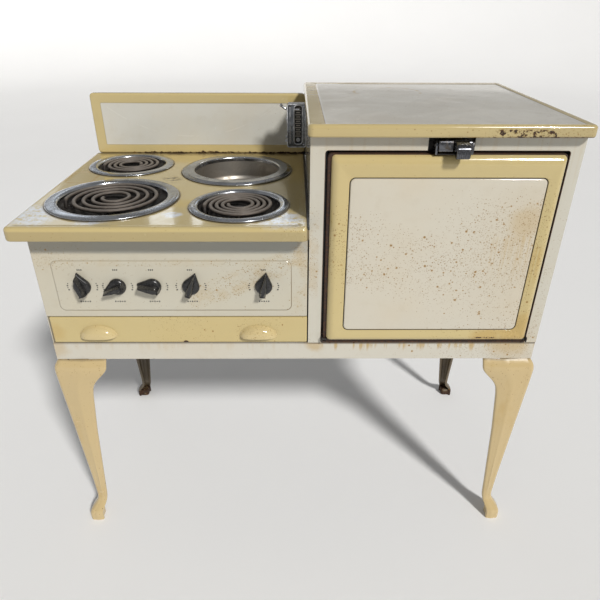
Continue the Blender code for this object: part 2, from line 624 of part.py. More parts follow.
def make_latch():
    """The bright latch: a bracket on the door's top edge, the lever on its pin, and the strike behind."""
    half = 0.038
    lug = 0.0035
    low, top = DOOR_TOP + GAP, LATCH_Z + 0.006
    back, front = FACE_Y + 0.008, LATCH_Y - 0.006
    bracket = box("latch_bracket", (LATCH_X - half, front, low), (LATCH_X + half, back, low + 0.0022), CHROME)
    for i, x in enumerate((LATCH_X - half, LATCH_X + half - lug)):
        boolean(bracket, box(f"latch lug {i}", (x, front, low), (x + lug, back, top)), "UNION")
    boolean(bracket, cylinder("latch pin", (LATCH_X, LATCH_Y, LATCH_Z), 0.0025, 2 * half - 0.002, "X",
                              sides=12), "UNION")

    reach = half - lug - 0.0008
    lever = cylinder("latch_lever", (LATCH_X, LATCH_Y, LATCH_Z), 0.0070, 2 * reach, "X", CHROME, 16)
    boolean(lever, cylinder("latch bore", (LATCH_X, LATCH_Y, LATCH_Z), 0.00265, 0.1, "X", sides=16))
    grip = ((0.0, -0.0045), (-0.015, -0.0060), (-0.019, -0.0190), (-0.0345, -0.0200), (-0.0370, -0.0170),
            (-0.0370, -0.0010), (-0.0330, 0.0030), (0.0, 0.0055))
    tongue = ((0.004, -0.0018), (0.030, -0.0018), (0.030, 0.0018), (0.004, 0.0018))
    grip_plate = outline("latch grip", grip, 0.028, None, "X", (LATCH_X + 0.012, LATCH_Y, LATCH_Z))
    tongue_plate = outline("latch tongue", tongue, 0.030, None, "X", (LATCH_X, LATCH_Y, LATCH_Z))
    for plate in (grip_plate, tongue_plate):
        boolean(plate, cylinder(plate.name + " clear", (LATCH_X, LATCH_Y, LATCH_Z), 0.00265, 0.1, "X",
                                sides=16))
        boolean(lever, plate, "UNION")

    strike = box("latch_strike", (LATCH_X - 0.050, FACE_Y + 0.0135, 1.0500),
                 (LATCH_X + 0.050, FACE_Y + 0.0155, 1.0885),
                 DARK_STEEL)
    boolean(strike, box("strike slot", (LATCH_X - 0.022, FACE_Y, LATCH_Z - 0.018),
                        (LATCH_X + 0.022, FACE_Y + 0.03, LATCH_Z + 0.008)))


# ---- heat control and terminal box --------------------------------------------------------------------
def make_heat_control():
    """The upright heat control on the oven's left wall: a plated case, and the lever that rides in it."""
    right = OVEN_LEFT - GAP
    depth = 0.030
    case = box("heat_control_case", (CONTROL_LEFT, CONTROL_Y, CONTROL_LOW),
               (right, CONTROL_Y + depth, CONTROL_TOP), CHROME)
    middle = (CONTROL_LEFT + right) / 2 - 0.002
    slot = round_rectangle(middle - 0.0110, middle + 0.0110, CONTROL_LOW + 0.014, CONTROL_TOP - 0.008,
                           0.0105, 3)
    boolean(case, outline("scale recess", slot, 0.024, None, "Y", (0, CONTROL_Y, 0)))
    window_y = CONTROL_Y + 0.0065
    boolean(case, box("lever slit", (CONTROL_LEFT - 0.01, window_y - 0.0025, CONTROL_LOW + 0.020),
                      (middle, window_y + 0.0025, CONTROL_TOP - 0.010)))
    lever_z = CONTROL_TOP - 0.0145
    lever = box("heat_control_lever", (CONTROL_LEFT - 0.004, window_y - 0.0015, lever_z - 0.0020),
                (middle + 0.004, window_y + 0.0015, lever_z + 0.0020), CHROME)
    handle = ((0.0, -0.0020), (-0.014, 0.0090), (-0.0155, 0.0125), (-0.0125, 0.0135), (0.001, 0.0030))
    boolean(lever, outline("lever handle", handle, 0.0060, None, "Y",
                           (CONTROL_LEFT - 0.0025, window_y, lever_z)), "UNION")


def make_terminal_box():
    """The cover over the supply terminals at the back, with a round way in for the supply cable."""
    cover = box("terminal_box", (-0.330, REAR_Y + GAP, 0.660), (-0.190, BACK_Y, 0.790), STEEL, (0, -1, 0))
    rounded(cover, 0.003, 1)
    solidify(cover, 0.0012)
    boolean(cover, cylinder("cable entry", (-0.260, (REAR_Y + BACK_Y) / 2 + 0.001, 0.660), 0.0105, 0.02,
                            sides=20))


clear_scene()
PARTS = new_collection("electric range")
CUTTERS = new_collection("cutters")
make_base()
make_legs()
make_cooking_body()
make_cooktop()
for burner in BURNERS:
    make_burner(*burner)
make_well()
for knob_name, knob_x, knob_angle in KNOBS:
    make_knob(knob_name, knob_x, knob_angle)
    make_switch(knob_name, knob_x)
make_tray()
make_oven_shell()
make_oven_liner()
make_rack()
make_oven_elements()
make_door()
make_latch()
make_heat_control()
make_terminal_box()
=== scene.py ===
"""The looks of an old electric kitchen range: enamelled sheet, bright trim, coils and moulded knobs.

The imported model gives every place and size, in metres, with X to the right along the front, Y to the back
and Z up. Each operator below makes one group of pieces and sets them on the bodies that carry them.
"""

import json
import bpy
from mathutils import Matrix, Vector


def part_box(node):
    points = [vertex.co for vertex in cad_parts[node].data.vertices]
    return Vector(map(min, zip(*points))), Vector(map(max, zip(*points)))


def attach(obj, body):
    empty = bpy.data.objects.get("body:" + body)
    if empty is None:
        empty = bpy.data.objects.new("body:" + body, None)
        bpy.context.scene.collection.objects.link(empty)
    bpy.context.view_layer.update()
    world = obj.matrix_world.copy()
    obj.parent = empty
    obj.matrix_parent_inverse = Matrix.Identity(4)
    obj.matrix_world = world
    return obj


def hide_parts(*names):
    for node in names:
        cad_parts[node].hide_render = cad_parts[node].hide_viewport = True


bl_info = {
    "name": "Old Electric Range",
    "version": (1, 0, 0),
    "blender": (4, 5, 0),
    "location": "View3D > Sidebar > Range",
    "description": "Enamel, trim, coils, knobs and wear for an old electric kitchen range",
    "category": "Object",
}

from math import asin, cos, pi, radians, sin

import bmesh
import bpy
import numpy as np
from mathutils import Matrix, Vector

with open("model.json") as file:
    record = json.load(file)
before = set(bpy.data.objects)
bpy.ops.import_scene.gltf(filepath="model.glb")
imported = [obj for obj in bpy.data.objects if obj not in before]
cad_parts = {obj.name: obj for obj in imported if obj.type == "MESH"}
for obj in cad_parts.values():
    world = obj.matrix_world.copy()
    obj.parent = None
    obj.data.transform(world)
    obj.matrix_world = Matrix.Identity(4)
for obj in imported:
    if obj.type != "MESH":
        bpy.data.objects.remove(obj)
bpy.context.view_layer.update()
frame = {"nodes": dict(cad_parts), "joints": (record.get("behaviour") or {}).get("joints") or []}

BURNERS = ("front_left", "rear_left", "front_right")
RING_WIDTH = {"front_left": 0.029, "rear_left": 0.024, "front_right": 0.0215}
COIL_TURNS = {"front_left": 4.0, "rear_left": 3.5, "front_right": 4.0}
KNOBS = ("left_front", "left_rear", "right_rear", "right_front", "oven")
SHEET = 0.0015
AXIS = 0.0001  # smallest radius of a turned profile, in place of none
FACE_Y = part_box("control_panel")[0].y + 0.002  # front plane of the body, behind the pressed field
COOK_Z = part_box("cooktop")[1].z


# ---- settings ----------------------------------------------------------------------------------------
class RangeColours(bpy.types.PropertyGroup):
    """Colours of the finishes."""

    cream: bpy.props.FloatVectorProperty(
        name="Cream", description="Cream enamel of the tops, the door border, the tray and the legs",
        default=(0.565, 0.457, 0.217), subtype="COLOR", min=0.0, max=1.0)
    ivory: bpy.props.FloatVectorProperty(
        name="Ivory", description="Pale enamel of the panels, the oven door and the base",
        default=(0.61, 0.57, 0.475), subtype="COLOR", min=0.0, max=1.0)
    rust: bpy.props.FloatVectorProperty(
        name="Rust", description="Rust and baked grease in the drips and freckles",
        default=(0.25, 0.138, 0.03), subtype="COLOR", min=0.0, max=1.0)
    # chip also colours the black gap round the oven door, a painted shade.
    chip: bpy.props.FloatVectorProperty(
        name="Chip", description="Bare iron where the enamel has come away",
        default=(0.03, 0.018, 0.013), subtype="COLOR", min=0.0, max=1.0)
    moulding: bpy.props.FloatVectorProperty(
        name="Moulding", description="Black moulded knobs",
        default=(0.017, 0.017, 0.018), subtype="COLOR", min=0.0, max=1.0)
    wear: bpy.props.FloatProperty(
        name="Wear", description="How much rust, chipping and staining shows", default=1.0, min=0.0,
                                  max=2.0)


class RangeSizes(bpy.types.PropertyGroup):
    """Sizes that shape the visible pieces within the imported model."""

    top_corner: bpy.props.FloatProperty(
        name="Top corner", description="Corner radius of the cooking top in plan", default=0.015,
                                        unit="LENGTH")
    roll: bpy.props.FloatProperty(
        name="Rolled edge", description="Radius of the cooking top's rolled edge", default=0.009,
                                  unit="LENGTH")
    leg_wall: bpy.props.FloatProperty(
        name="Leg wall", description="Thickness of the pressed legs", default=0.004, unit="LENGTH")
    coil_tube: bpy.props.FloatProperty(
        name="Coil tube", description="Radius of a heating coil's tube", default=0.0047, unit="LENGTH")
    key_power: bpy.props.FloatProperty(
        name="Key light", description="Strength of the main lamp", default=2.75, min=0.0)
    sky: bpy.props.FloatProperty(
        name="Sky", description="Strength of the even light from all around", default=0.23, min=0.0)


def colours():
    return bpy.context.scene.range_colours


def sizes():
    return bpy.context.scene.range_sizes


def joint_place(name):
    """The point that a joint turns about."""
    return Vector(next(joint["pos_m"] for joint in frame["joints"] if joint["name"] == name))


def middle_of(node):
    low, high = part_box(node)
    return (low + high) / 2


# ---- shaders -----------------------------------------------------------------------------------------
class Wire:
    """A socket that can stand in a sum: an expression on wires adds its Math nodes."""

    def __init__(self, kit, socket):
        self.kit = kit
        self.socket = socket

    def __add__(self, other):
        return self.kit.math("ADD", self, other)

    def __sub__(self, other):
        return self.kit.math("SUBTRACT", self, other)

    def __rsub__(self, other):
        return self.kit.math("SUBTRACT", other, self)

    def __mul__(self, other):
        return self.kit.math("MULTIPLY", self, other)

    def __truediv__(self, other):
        return self.kit.math("DIVIDE", self, other)

    def __pow__(self, other):
        return self.kit.math("POWER", self, other)

    def __or__(self, other):
        return self.kit.math("MAXIMUM", self, other)

    def __and__(self, other):
        return self.kit.math("MINIMUM", self, other)

    def __abs__(self):
        return self.kit.math("ABSOLUTE", self)

    __radd__ = __add__
    __rmul__ = __mul__
    __ror__ = __or__
    __rand__ = __and__


class Kit:
    """The nodes of one material. x, y and z are places in the range's own frame, in metres."""

    def __init__(self, name):
        self.material = bpy.data.materials.new(name)
        self.material.use_nodes = True
        self.tree = self.material.node_tree
        self.shader = self.tree.nodes["Principled BSDF"]
        self.place = self.node("ShaderNodeTexCoord", output="Object")
        self.x = self.node("ShaderNodeSeparateXYZ", inputs={0: self.place}, output=0)
        parts = self.x.socket.node
        self.y = Wire(self, parts.outputs[1])
        self.z = Wire(self, parts.outputs[2])

    def node(self, kind, settings=None, inputs=None, output=0):
        """Adds a node, sets it, then feeds its sockets with values or wires."""
        made = self.tree.nodes.new(kind)
        for key, value in (settings or {}).items():
            setattr(made, key, value)
        for key, value in (inputs or {}).items():
            self.feed(made.inputs[key], value)
        return Wire(self, made.outputs[output])

    def feed(self, socket, value):
        if isinstance(value, Wire):
            self.tree.links.new(value.socket, socket)
        elif socket.type == "RGBA" and len(value) == 3:
            socket.default_value = (*value, 1.0)
        else:
            socket.default_value = value

    def math(self, operation, *values):
        return self.node("ShaderNodeMath", {"operation": operation}, dict(enumerate(values)))

    def step(self, value, low, high):
        """0 below low, 1 above high, smooth between; low may be the larger."""
        return self.node("ShaderNodeMapRange", {"interpolation_type": "SMOOTHSTEP"},
                         {0: value, 1: low, 2: high})

    def band(self, value, low, high, soft):
        """1 between low and high, fading over soft outside them."""
        return self.step(value, low - soft, low) * self.step(value, high + soft, high)

    def mix(self, factor, first, second):
        return self.node("ShaderNodeMix", {"data_type": "RGBA"}, {0: factor, 6: first, 7: second}, 2)

    def stretched(self, x, y, z):
        """The place, stretched by a factor along each axis."""
        return self.node("ShaderNodeVectorMath", {"operation": "MULTIPLY"}, {0: self.place, 1: (x, y, z)})

    def noise(self, scale, detail=2.0, roughness=0.5, place=None, distortion=0.0):
        return self.node("ShaderNodeTexNoise", None, {
            "Vector": place or self.place, "Scale": scale, "Detail": detail, "Roughness": roughness,
            "Distortion": distortion})

    def cloud(self, low, high, *shape, **more):
        """Patches of noise: 0 where it is below low, 1 where it is above high."""
        return self.step(self.noise(*shape, **more), low, high)

    def spots(self, scale, density, reach=0.36, soft=0.1, place=None):
        """Round spots of mixed sizes, one to a cell. density is a wire or a number from 0 to 1."""
        distance = self.node("ShaderNodeTexVoronoi", None, {"Vector": place or self.place, "Scale": scale})
        cell = self.node("ShaderNodeSeparateColor", None,
                         {0: Wire(self, distance.socket.node.outputs["Color"])})
        chosen = self.step(Wire(self, cell.socket.node.outputs[1]), 1.0 - density, 1.02 - density)
        return self.step(cell * reach * chosen - distance, 0.0, soft)

    def edge(self, a, b, left, right, low, top, radius):
        """Distance outside a round-cornered rectangle in the plane of a and b, negative inside it."""
        over_a = abs(a - (left + right) / 2) - ((right - left) / 2 - radius)
        over_b = abs(b - (low + top) / 2) - ((top - low) / 2 - radius)
        out_a, out_b = over_a | 0.0, over_b | 0.0
        corner = (out_a * out_a + out_b * out_b) ** 0.5
        return corner + ((over_a | over_b) & 0.0) - radius

    def ring(self, centre, radius, a=None, b=None):
        """Distance in metres outside a circle about centre."""
        across = (a or self.x) - centre[0]
        along = (b or self.y) - centre[1]
        return (across * across + along * along) ** 0.5 - radius

    def finish(self, colour, roughness, metallic=0.0, height=None, distance=0.001, constants=None):
        self.feed(self.shader.inputs["Base Color"], colour)
        self.feed(self.shader.inputs["Roughness"], roughness)
        self.feed(self.shader.inputs["Metallic"], metallic)
        if height is not None:
            bump = self.node("ShaderNodeBump", None, {"Strength": 1.0, "Distance": distance,
                                                      "Height": height})
            self.feed(self.shader.inputs["Normal"], bump)
        for key, value in (constants or {}).items():
            self.shader.inputs[key].default_value = value
        return self.material


def scaled(colour, factor):
    return tuple(channel * factor for channel in colour)


def enamel(name, base, wear):
    """tone      1 where a second colour shows: two-tone paint, painted shade on the control panel and the rear legs, and a painted reflection on the cooking top
    tone_b    that second colour
    line      thin dark line, as where two colours meet; on the control panel also painted shade along the field's lower and right edges
    chips     where enamel has flaked off to bare iron; round the oven door also the black of the gap, a painted shade
    freckles  how thickly small rust spots lie, 0 to 1
    drips     yellow-brown stains
    dirt_and_shade  brown-grey grime, and on some pieces painted shade
    smears    dull greasy smears"""
    kit = Kit(name)
    tints = colours()
    masks = wear(kit)
    amount = tints.wear
    colour = tuple(base)
    if "tone" in masks:
        colour = kit.mix(masks["tone"], colour, tuple(masks["tone_b"]))
    cloud = kit.noise(3.1, 4.0, 0.62)
    tinted = kit.mix(kit.step(cloud, 0.4, 0.78) * 0.3, colour,
                     kit.mix(0.5, colour, (0.6, 0.4, 0.14)))
    mottled = kit.mix(kit.cloud(0.5, 0.8, 38.0, 3.0, 0.6) * 0.1, tinted, (0.42, 0.33, 0.2))
    stained = mottled
    if "line" in masks:
        stained = kit.mix(masks["line"], stained, (0.16, 0.115, 0.06))
    if "drips" in masks:
        stained = kit.mix(masks["drips"] * (0.8 * amount), stained, (0.47, 0.3, 0.075))
    if "dirt_and_shade" in masks:
        stained = kit.mix(masks["dirt_and_shade"] * (0.85 * amount), stained, (0.105, 0.08, 0.055))
    density = masks.get("freckles", 0.0)
    fine = kit.spots(430.0, density * 0.95 + 0.005, 0.48, 0.14)
    small = kit.spots(215.0, density * 0.8 + 0.004, 0.4, 0.12)
    large = kit.spots(115.0, density * 0.16 + 0.002, 0.32, 0.07)
    halo = kit.spots(115.0, density * 0.16 + 0.002, 0.56, 0.3)
    stained = kit.mix(halo * (0.4 * amount), stained, (0.5, 0.31, 0.1))
    stained = kit.mix((fine * 0.8 | small * 0.85 | large) * (0.9 * amount), stained, tuple(tints.rust))
    chips = masks.get("chips")
    height = kit.noise(46.0, 1.5, 0.4) * 0.1 + kit.noise(9.0, 1.0, 0.4) * 0.75 - (small | large) * 0.1
    smears = kit.cloud(0.42, 0.72, 7.0, 5.0, 0.7, distortion=0.8)
    roughness = 0.1 + smears * 0.11 + (small | large) * 0.35
    coat = 0.4
    if "smears" in masks:
        roughness = roughness + masks["smears"] * 0.3
    if "drips" in masks:
        roughness = roughness + masks["drips"] * 0.16
    if "dirt_and_shade" in masks:
        roughness = roughness + masks["dirt_and_shade"] * 0.3
        coat = 0.4 - masks["dirt_and_shade"] * 0.35
    if chips is not None:
        rim = kit.step(chips, 0.02, 0.3)
        core = kit.step(chips, 0.34, 0.46)
        stained = kit.mix(rim * 0.9, stained, tuple(tints.rust))
        iron = kit.mix(kit.cloud(0.35, 0.7, 240.0, 3.0), tuple(tints.chip), (0.075, 0.03, 0.011))
        stained = kit.mix(core, stained, iron)
        height = height - core * 0.45
        roughness = roughness + rim * 0.55
        coat = (coat - rim * 0.4) | 0.0
    kit.feed(kit.shader.inputs["Coat Weight"], coat)
    return kit.finish(stained, roughness & 0.9, 0.0, height, 0.0008,
                      {"IOR": 1.5, "Coat Roughness": 0.04})


def ragged(kit, distance, reach, scale=70.0, amount=0.5):
    """A broken band along an edge: 1 near distance 0, gone by reach, eaten away by noise."""
    near = kit.step(distance, reach, 0.0)
    return kit.step(near * (kit.noise(scale, 4.0, 0.65) * 1.5 - 0.25), 1.0 - amount, 1.12 - amount)


def streaks(kit, across, top_z, length, fineness=150.0, amount=0.5):
    """Runs down from top_z: narrow in the across direction and long in z."""
    place = kit.node("ShaderNodeCombineXYZ", None, {0: across * fineness, 1: kit.y * 6.0, 2: kit.z * 5.0})
    runs = kit.noise(1.0, 3.0, 0.55, place)
    fall = kit.step(kit.z, top_z - length, top_z) * kit.step(kit.z, top_z + 0.035, top_z - 0.01)
    return kit.step(runs * (0.35 + fall * 0.65), 0.62 - amount * 0.3, 0.8 - amount * 0.3) * fall


def blotch(kit, centre, radius, a, b, raggedness=0.5):
    """A soft round patch about centre in the plane of a and b, broken up by noise."""
    distance = kit.ring(centre, 0.0, a, b)
    return kit.step(distance + (kit.noise(26.0, 4.0, 0.6) - 0.5) * radius * raggedness * 2, radius,
                    radius * 0.35)


# Bluish-white patches of painted reflection of the windows on the cooking top, each a centre and a radius in
# plan.
REFLECTION_PATCHES = (((-0.56, -0.245), 0.085), ((-0.43, -0.275), 0.045), ((-0.265, -0.245), 0.026),
                ((-0.025, -0.275), 0.065))
OLD_STAIN = (-0.586, -0.515, -0.012, 0.09,
             0.02)  # outline of a dried spill: left, right, front, back, corner
ROUND_TRIMS = (*(f"trim_ring_{name}" for name in BURNERS), "well_collar")


def cooktop_enamel():
    splash_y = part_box("backsplash")[0].y
    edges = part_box("cooktop")

    def wear(kit):
        before = kit.step(kit.y, splash_y + 0.003, splash_y + 0.001)
        seam = ragged(kit, splash_y - kit.y, 0.02, 62.0, 0.6) * kit.step(kit.x, -0.52, -0.4) * before
        front = ragged(kit, kit.y - edges[0].y, 0.03, 120.0, 0.16)
        right = ragged(kit, edges[1].x - kit.x, 0.022, 110.0, 0.34) * kit.step(kit.y, 0.1, 0.25)
        ring_stain = kit.band(kit.edge(kit.x, kit.y, *OLD_STAIN), -0.003, 0.001, 0.004)
        old_ring = ring_stain * kit.cloud(0.34, 0.52, 60.0, 4.0, 0.7)
        grease = kit.cloud(0.6, 0.72, 16.0, 6.0, 0.72, distortion=1.2) * kit.step(kit.x, -0.2, -0.02)
        halos, lines = 0.0, 0.0
        for name in ROUND_TRIMS:
            low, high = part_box(name)
            around = kit.ring(middle_of(name), (high.x - low.x) / 2)
            halos = kit.step(around, 0.0065, 0.0) | halos
            lines = kit.step(around, 0.003, 0.0018) | lines
        grime = halos * (0.35 + kit.noise(90.0, 3.0) * 0.6) | lines
        # dark_seam: a dark line at the foot of the splash, and painted shade along the right edge beside the
        # oven's wall
        dark_seam = kit.step(splash_y - kit.y, 0.004, 0.0015) * before
        dark_seam = dark_seam | kit.step(edges[1].x - kit.x, 0.008, 0.003)
        # painted shade: the rolled front lip darker below its top
        lip = kit.step(kit.z, COOK_Z - 0.006, COOK_Z - 0.01) * 0.34
        patchy = kit.cloud(0.38, 0.56, 46.0, 5.0, 0.78)
        # painted reflection of the windows: bluish-white patches near the front, broken up by patchy
        painted_reflection = 0.0
        for centre, radius in REFLECTION_PATCHES:
            painted_reflection = blotch(kit, centre, radius, kit.x, kit.y) | painted_reflection
        brown = blotch(kit, (-0.318, 0.022), 0.036, kit.x, kit.y) * kit.cloud(0.49, 0.57, 110.0, 3.0, 0.7)
        return {
            "chips": (seam | front | right) & 1.0,
            "freckles": 0.05 + kit.step(kit.x, -0.1, 0.03) * 0.3,
            # tone: the painted reflection, on the top face only
            "tone": painted_reflection * patchy * kit.step(kit.z, COOK_Z - 0.008, COOK_Z - 0.002) * 0.85,
            "tone_b": (0.7, 0.77, 0.88),
            "drips": old_ring * 0.75 + grease * 0.45 + kit.step(kit.y, -0.1, 0.2) * 0.14 & 1.0,
            "dirt_and_shade": (grime | dark_seam | lip | brown) & 1.0,
            "smears": kit.cloud(0.45, 0.7, 5.0, 5.0, 0.7) * 0.4,
        }

    return enamel("cooktop enamel", colours().cream, wear)


def splash_enamel():
    low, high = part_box("backsplash")

    def wear(kit):
        field = kit.edge(kit.x, kit.z, *inset((low.x, high.x, low.z, high.z), SPLASH_FIELD, 0.003))
        faces_front = kit.step(kit.y, low.y + 0.0035, low.y + 0.0015)
        chips = ragged(kit, kit.z - low.z, 0.018, 62.0, 0.6) * kit.step(kit.x, -0.53, -0.4)
        scratch = kit.ring((-0.3, 1.36), 0.395, kit.x, kit.z)
        return {
            "tone": kit.step(field, 0.0006, -0.0006) * faces_front,
            "tone_b": (0.63, 0.62, 0.56),
            "line": kit.band(field, -0.0002, 0.0006, 0.0008) * faces_front * 0.35,
            "chips": chips,
            "freckles": 0.004 + kit.step(kit.x, -0.2, 0.0) * 0.03,
            "dirt_and_shade": kit.step(kit.z - low.z, 0.006, 0.0) * 0.8,
            "smears": kit.band(scratch, -0.001, 0.001, 0.003) * 0.5,
        }

    return enamel("splash enamel", colours().cream, wear)


def oven_top_enamel():
    low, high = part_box("oven_top")

    def wear(kit):
        field = kit.edge(kit.x, kit.y, *inset((low.x, high.x, low.y, high.y), TOP_FIELD, 0.004))
        on_top = kit.step(kit.z, high.z - 0.0016, high.z - 0.0006)
        lip = kit.step(kit.y, low.y + 0.008, low.y + 0.002)
        torn = kit.step(kit.noise(85.0, 5.0, 0.75) * (0.25 + kit.band(kit.x, 0.4, 0.5, 0.05)), 0.6, 0.72)
        lower_lip = kit.step(kit.z, high.z - 0.006, high.z - 0.013)
        bottom = ragged(kit, kit.z - low.z, 0.006, 130.0, 0.5) * kit.step(kit.x, 0.25, 0.52)
        rings = kit.ring((0.24, 0.12), 0.085)
        ring_mark = kit.band(rings, -0.001, 0.001, 0.006) * kit.cloud(0.48, 0.62, 22.0, 4.0, 0.7)
        scuffs = kit.node("ShaderNodeMapping", None, {0: kit.place, 2: (0.0, 0.0, 0.35),
                                                      3: (9.0, 60.0, 1.0)})
        scuffed = kit.cloud(0.6, 0.74, 1.6, 5.0, 0.75, scuffs) * on_top
        corner = ragged(kit, (kit.x - low.x) + (kit.y - low.y), 0.03, 90.0, 0.3)
        return {
            "tone": kit.step(field, 0.0008, -0.0008) * on_top,
            "tone_b": (0.8, 0.81, 0.82),
            "line": kit.band(field, 0.0, 0.0008, 0.0012) * on_top * 0.45,
            "chips": (torn * lip * lower_lip | bottom | corner) & 1.0,
            "freckles": 0.03 + lip * kit.step(kit.x, 0.25, 0.5) * 0.5,
            "drips": (ring_mark * 0.7 + scuffed * 0.35) & 1.0,
            "dirt_and_shade": (kit.step(kit.z, low.z + 0.0045, low.z + 0.001) * (0.35 + kit.step(kit.x, 0.36, 0.5)
                                                                       * 0.55)
                     | lip * (0.1 + kit.step(kit.x, 0.3, 0.55) * 0.14)) & 1.0,
            "smears": scuffed * 0.7,
        }

    return enamel("oven top enamel", colours().cream, wear)


def rust_storm(kit):
    """How thickly rust spots lie over the door: a bowed band, and more on the right."""
    bow = abs(kit.x - 0.3) * -0.28 + 0.03
    wavy = kit.z + bow + (kit.noise(6.0, 3.0, 0.6) - 0.5) * 0.1
    clump = kit.cloud(0.34, 0.66, 15.0, 4.0, 0.65)
    band = kit.band(wavy, 0.775, 0.895, 0.045) * kit.step(kit.x, 0.03, 0.08)
    right = kit.step(kit.x, 0.26, 0.44) * kit.step(kit.z, 1.03, 0.93)
    return (band + right * 0.7) * (0.42 + clump * 0.78) & 1.0


SPLASH_FIELD = (0.029, 0.042, 0.026, 0.026)  # border round the splash's white field: left, right, low, top
TOP_FIELD = (0.034, 0.021, 0.012, 0.034)  # border round the oven top's pale field: left, right, front, back
RIM = (0.0075, 0.003, 0.007, 0.0015)  # dark flange outside the door's border, painted black as the shade of the gap round the door: left, right, low, top


def door_frame_enamel():
    low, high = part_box("door_frame")
    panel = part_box("door_panel")

    def wear(kit):
        seam = kit.edge(kit.x, kit.z, panel[0].x, panel[1].x, panel[0].z, panel[1].z, 0.011)
        corner_runs = streaks(kit, kit.x, 0.86, 0.3, 170.0, 0.7) * kit.step(kit.x, 0.505, 0.535)
        low_right = blotch(kit, (0.53, 0.64), 0.075, kit.x, kit.z) | blotch(kit, (0.45, 0.622), 0.05, kit.x,
                                                                            kit.z)
        scuff = kit.band(kit.z, 0.627, 0.6295, 0.001) * kit.band(kit.x, 0.425, 0.47, 0.004)
        nicks = ragged(kit, seam, 0.004, 60.0, 0.34)
        # outline: the flange outside the border is painted black as the shade of the gap round the door; the
        # ragged part adds chips along it
        outline = kit.edge(kit.x, kit.z, *inset((low.x, high.x, low.z, high.z), RIM, 0.009))
        worn = kit.step(outline, -0.0006, 0.0004) | ragged(kit, outline * -1.0, 0.005, 70.0, 0.26)
        return {
            "chips": (nicks | worn | scuff * kit.cloud(0.45, 0.6, 200.0, 3.0)) & 1.0,
            "freckles": rust_storm(kit) * 0.8 + 0.02,
            "drips": (corner_runs * 0.9 | low_right * 0.75) & 1.0,
            "dirt_and_shade": kit.step(seam, 0.0026, 0.0012),
        }

    return enamel("door border enamel", colours().cream, wear)


def door_panel_enamel():
    low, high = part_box("door_panel")

    def wear(kit):
        runs = streaks(kit, kit.x, 0.88, 0.26, 230.0, 0.72) * kit.step(kit.x, 0.39, 0.46)
        warm = kit.step(kit.x, 0.33, 0.52) * kit.band(kit.z, 0.7, 0.97, 0.05)
        edge = kit.edge(kit.x, kit.z, low.x, high.x, low.z, high.z, 0.011)
        nicks = ragged(kit, edge * -1.0, 0.005, 48.0, 0.3)
        return {
            "chips": nicks,
            "freckles": rust_storm(kit) + 0.012,
            "drips": (runs * 0.32 + warm * 0.16 + blotch(kit, (0.49, 0.915), 0.05, kit.x, kit.z, 0.3)
                      * 0.4) & 1.0,
            "dirt_and_shade": kit.step(edge, -0.001, 0.0004) * 0.8,
        }

    return enamel("door panel enamel", colours().ivory, wear)


def control_panel_enamel():
    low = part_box("control_panel")[0]

    def wear(kit):
        diagonal = (kit.z - 0.735) - (kit.x + 0.17) * 0.42
        fan = kit.band(diagonal, -0.004, 0.03, 0.022) * kit.band(kit.x, -0.22, 0.0, 0.03)
        right = kit.step(kit.x, -0.02, 0.02)
        left_top = kit.band(kit.z, 0.805, 0.85, 0.01) * kit.step(kit.x, -0.43, -0.5)
        along_top = kit.band(kit.z, 0.808, 0.822, 0.004)
        clump = kit.cloud(0.38, 0.62, 24.0, 4.0, 0.65)
        field = kit.edge(kit.x, kit.z, *FIELD, 0.012)
        return {
            # line: the outline of the pressed field, darker along its lower and right edges as painted shade
            "line": kit.band(field, 0.0008, 0.0018, 0.001) * (0.4 + kit.step(kit.z - kit.x * 0.2, 0.84,
                                                                             0.76) * 0.45),
            # tone: painted shadow of the cooking top's lip, a grey-green band across the panel's top
            "tone": kit.step(kit.z, 0.834, 0.84) * 0.6,
            "tone_b": (0.3, 0.315, 0.3),
            "freckles": ((fan * 0.95 + right * 0.6 + left_top * 0.6 + along_top * 0.3) * (0.3 + clump * 0.7)
                         + 0.035) & 1.0,
            "drips": (fan * clump * 0.3 + along_top * kit.cloud(0.45, 0.65, 20.0, 4.0) * 0.12
                      + right * clump * 0.25) & 1.0,
            # dirt_and_shade: darker at the bottom edge, and painted shade in the top band under the cooking
            # top's lip
            "dirt_and_shade": (kit.step(kit.z, low.z + 0.003, low.z + 0.0008) | kit.step(kit.z, 0.88, 0.888)) * 0.6,
        }

    return enamel("control panel enamel", (0.555, 0.525, 0.43), wear)


def tray_enamel():
    low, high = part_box("tray_front")

    def wear(kit):
        bottom = kit.z - low.z
        chip = kit.ring((-0.258, low.z), 0.006, kit.x, kit.z)
        left = blotch(kit, (low.x + 0.01, low.z + 0.03), 0.03, kit.x, kit.z)
        return {
            "chips": (kit.step(chip, 0.0015, -0.0015) | ragged(kit, bottom, 0.004, 60.0, 0.26)) & 1.0,
            "freckles": 0.05 + kit.band(kit.x, -0.33, -0.2, 0.03) * 0.3 + kit.band(kit.x, -0.13, -0.04,
                                                                                   0.02) * 0.35,
            "drips": left * 0.4,
            "dirt_and_shade": kit.step(bottom, 0.003, 0.0006) * 0.7,
        }

    return enamel("tray enamel", scaled(colours().cream, 1.0), wear)


def pull_enamel():
    def wear(kit):
        return {"freckles": 0.1 + kit.step(kit.x, -0.14, -0.1) * 0.45}

    return enamel("pull enamel", (0.6, 0.485, 0.25), wear)


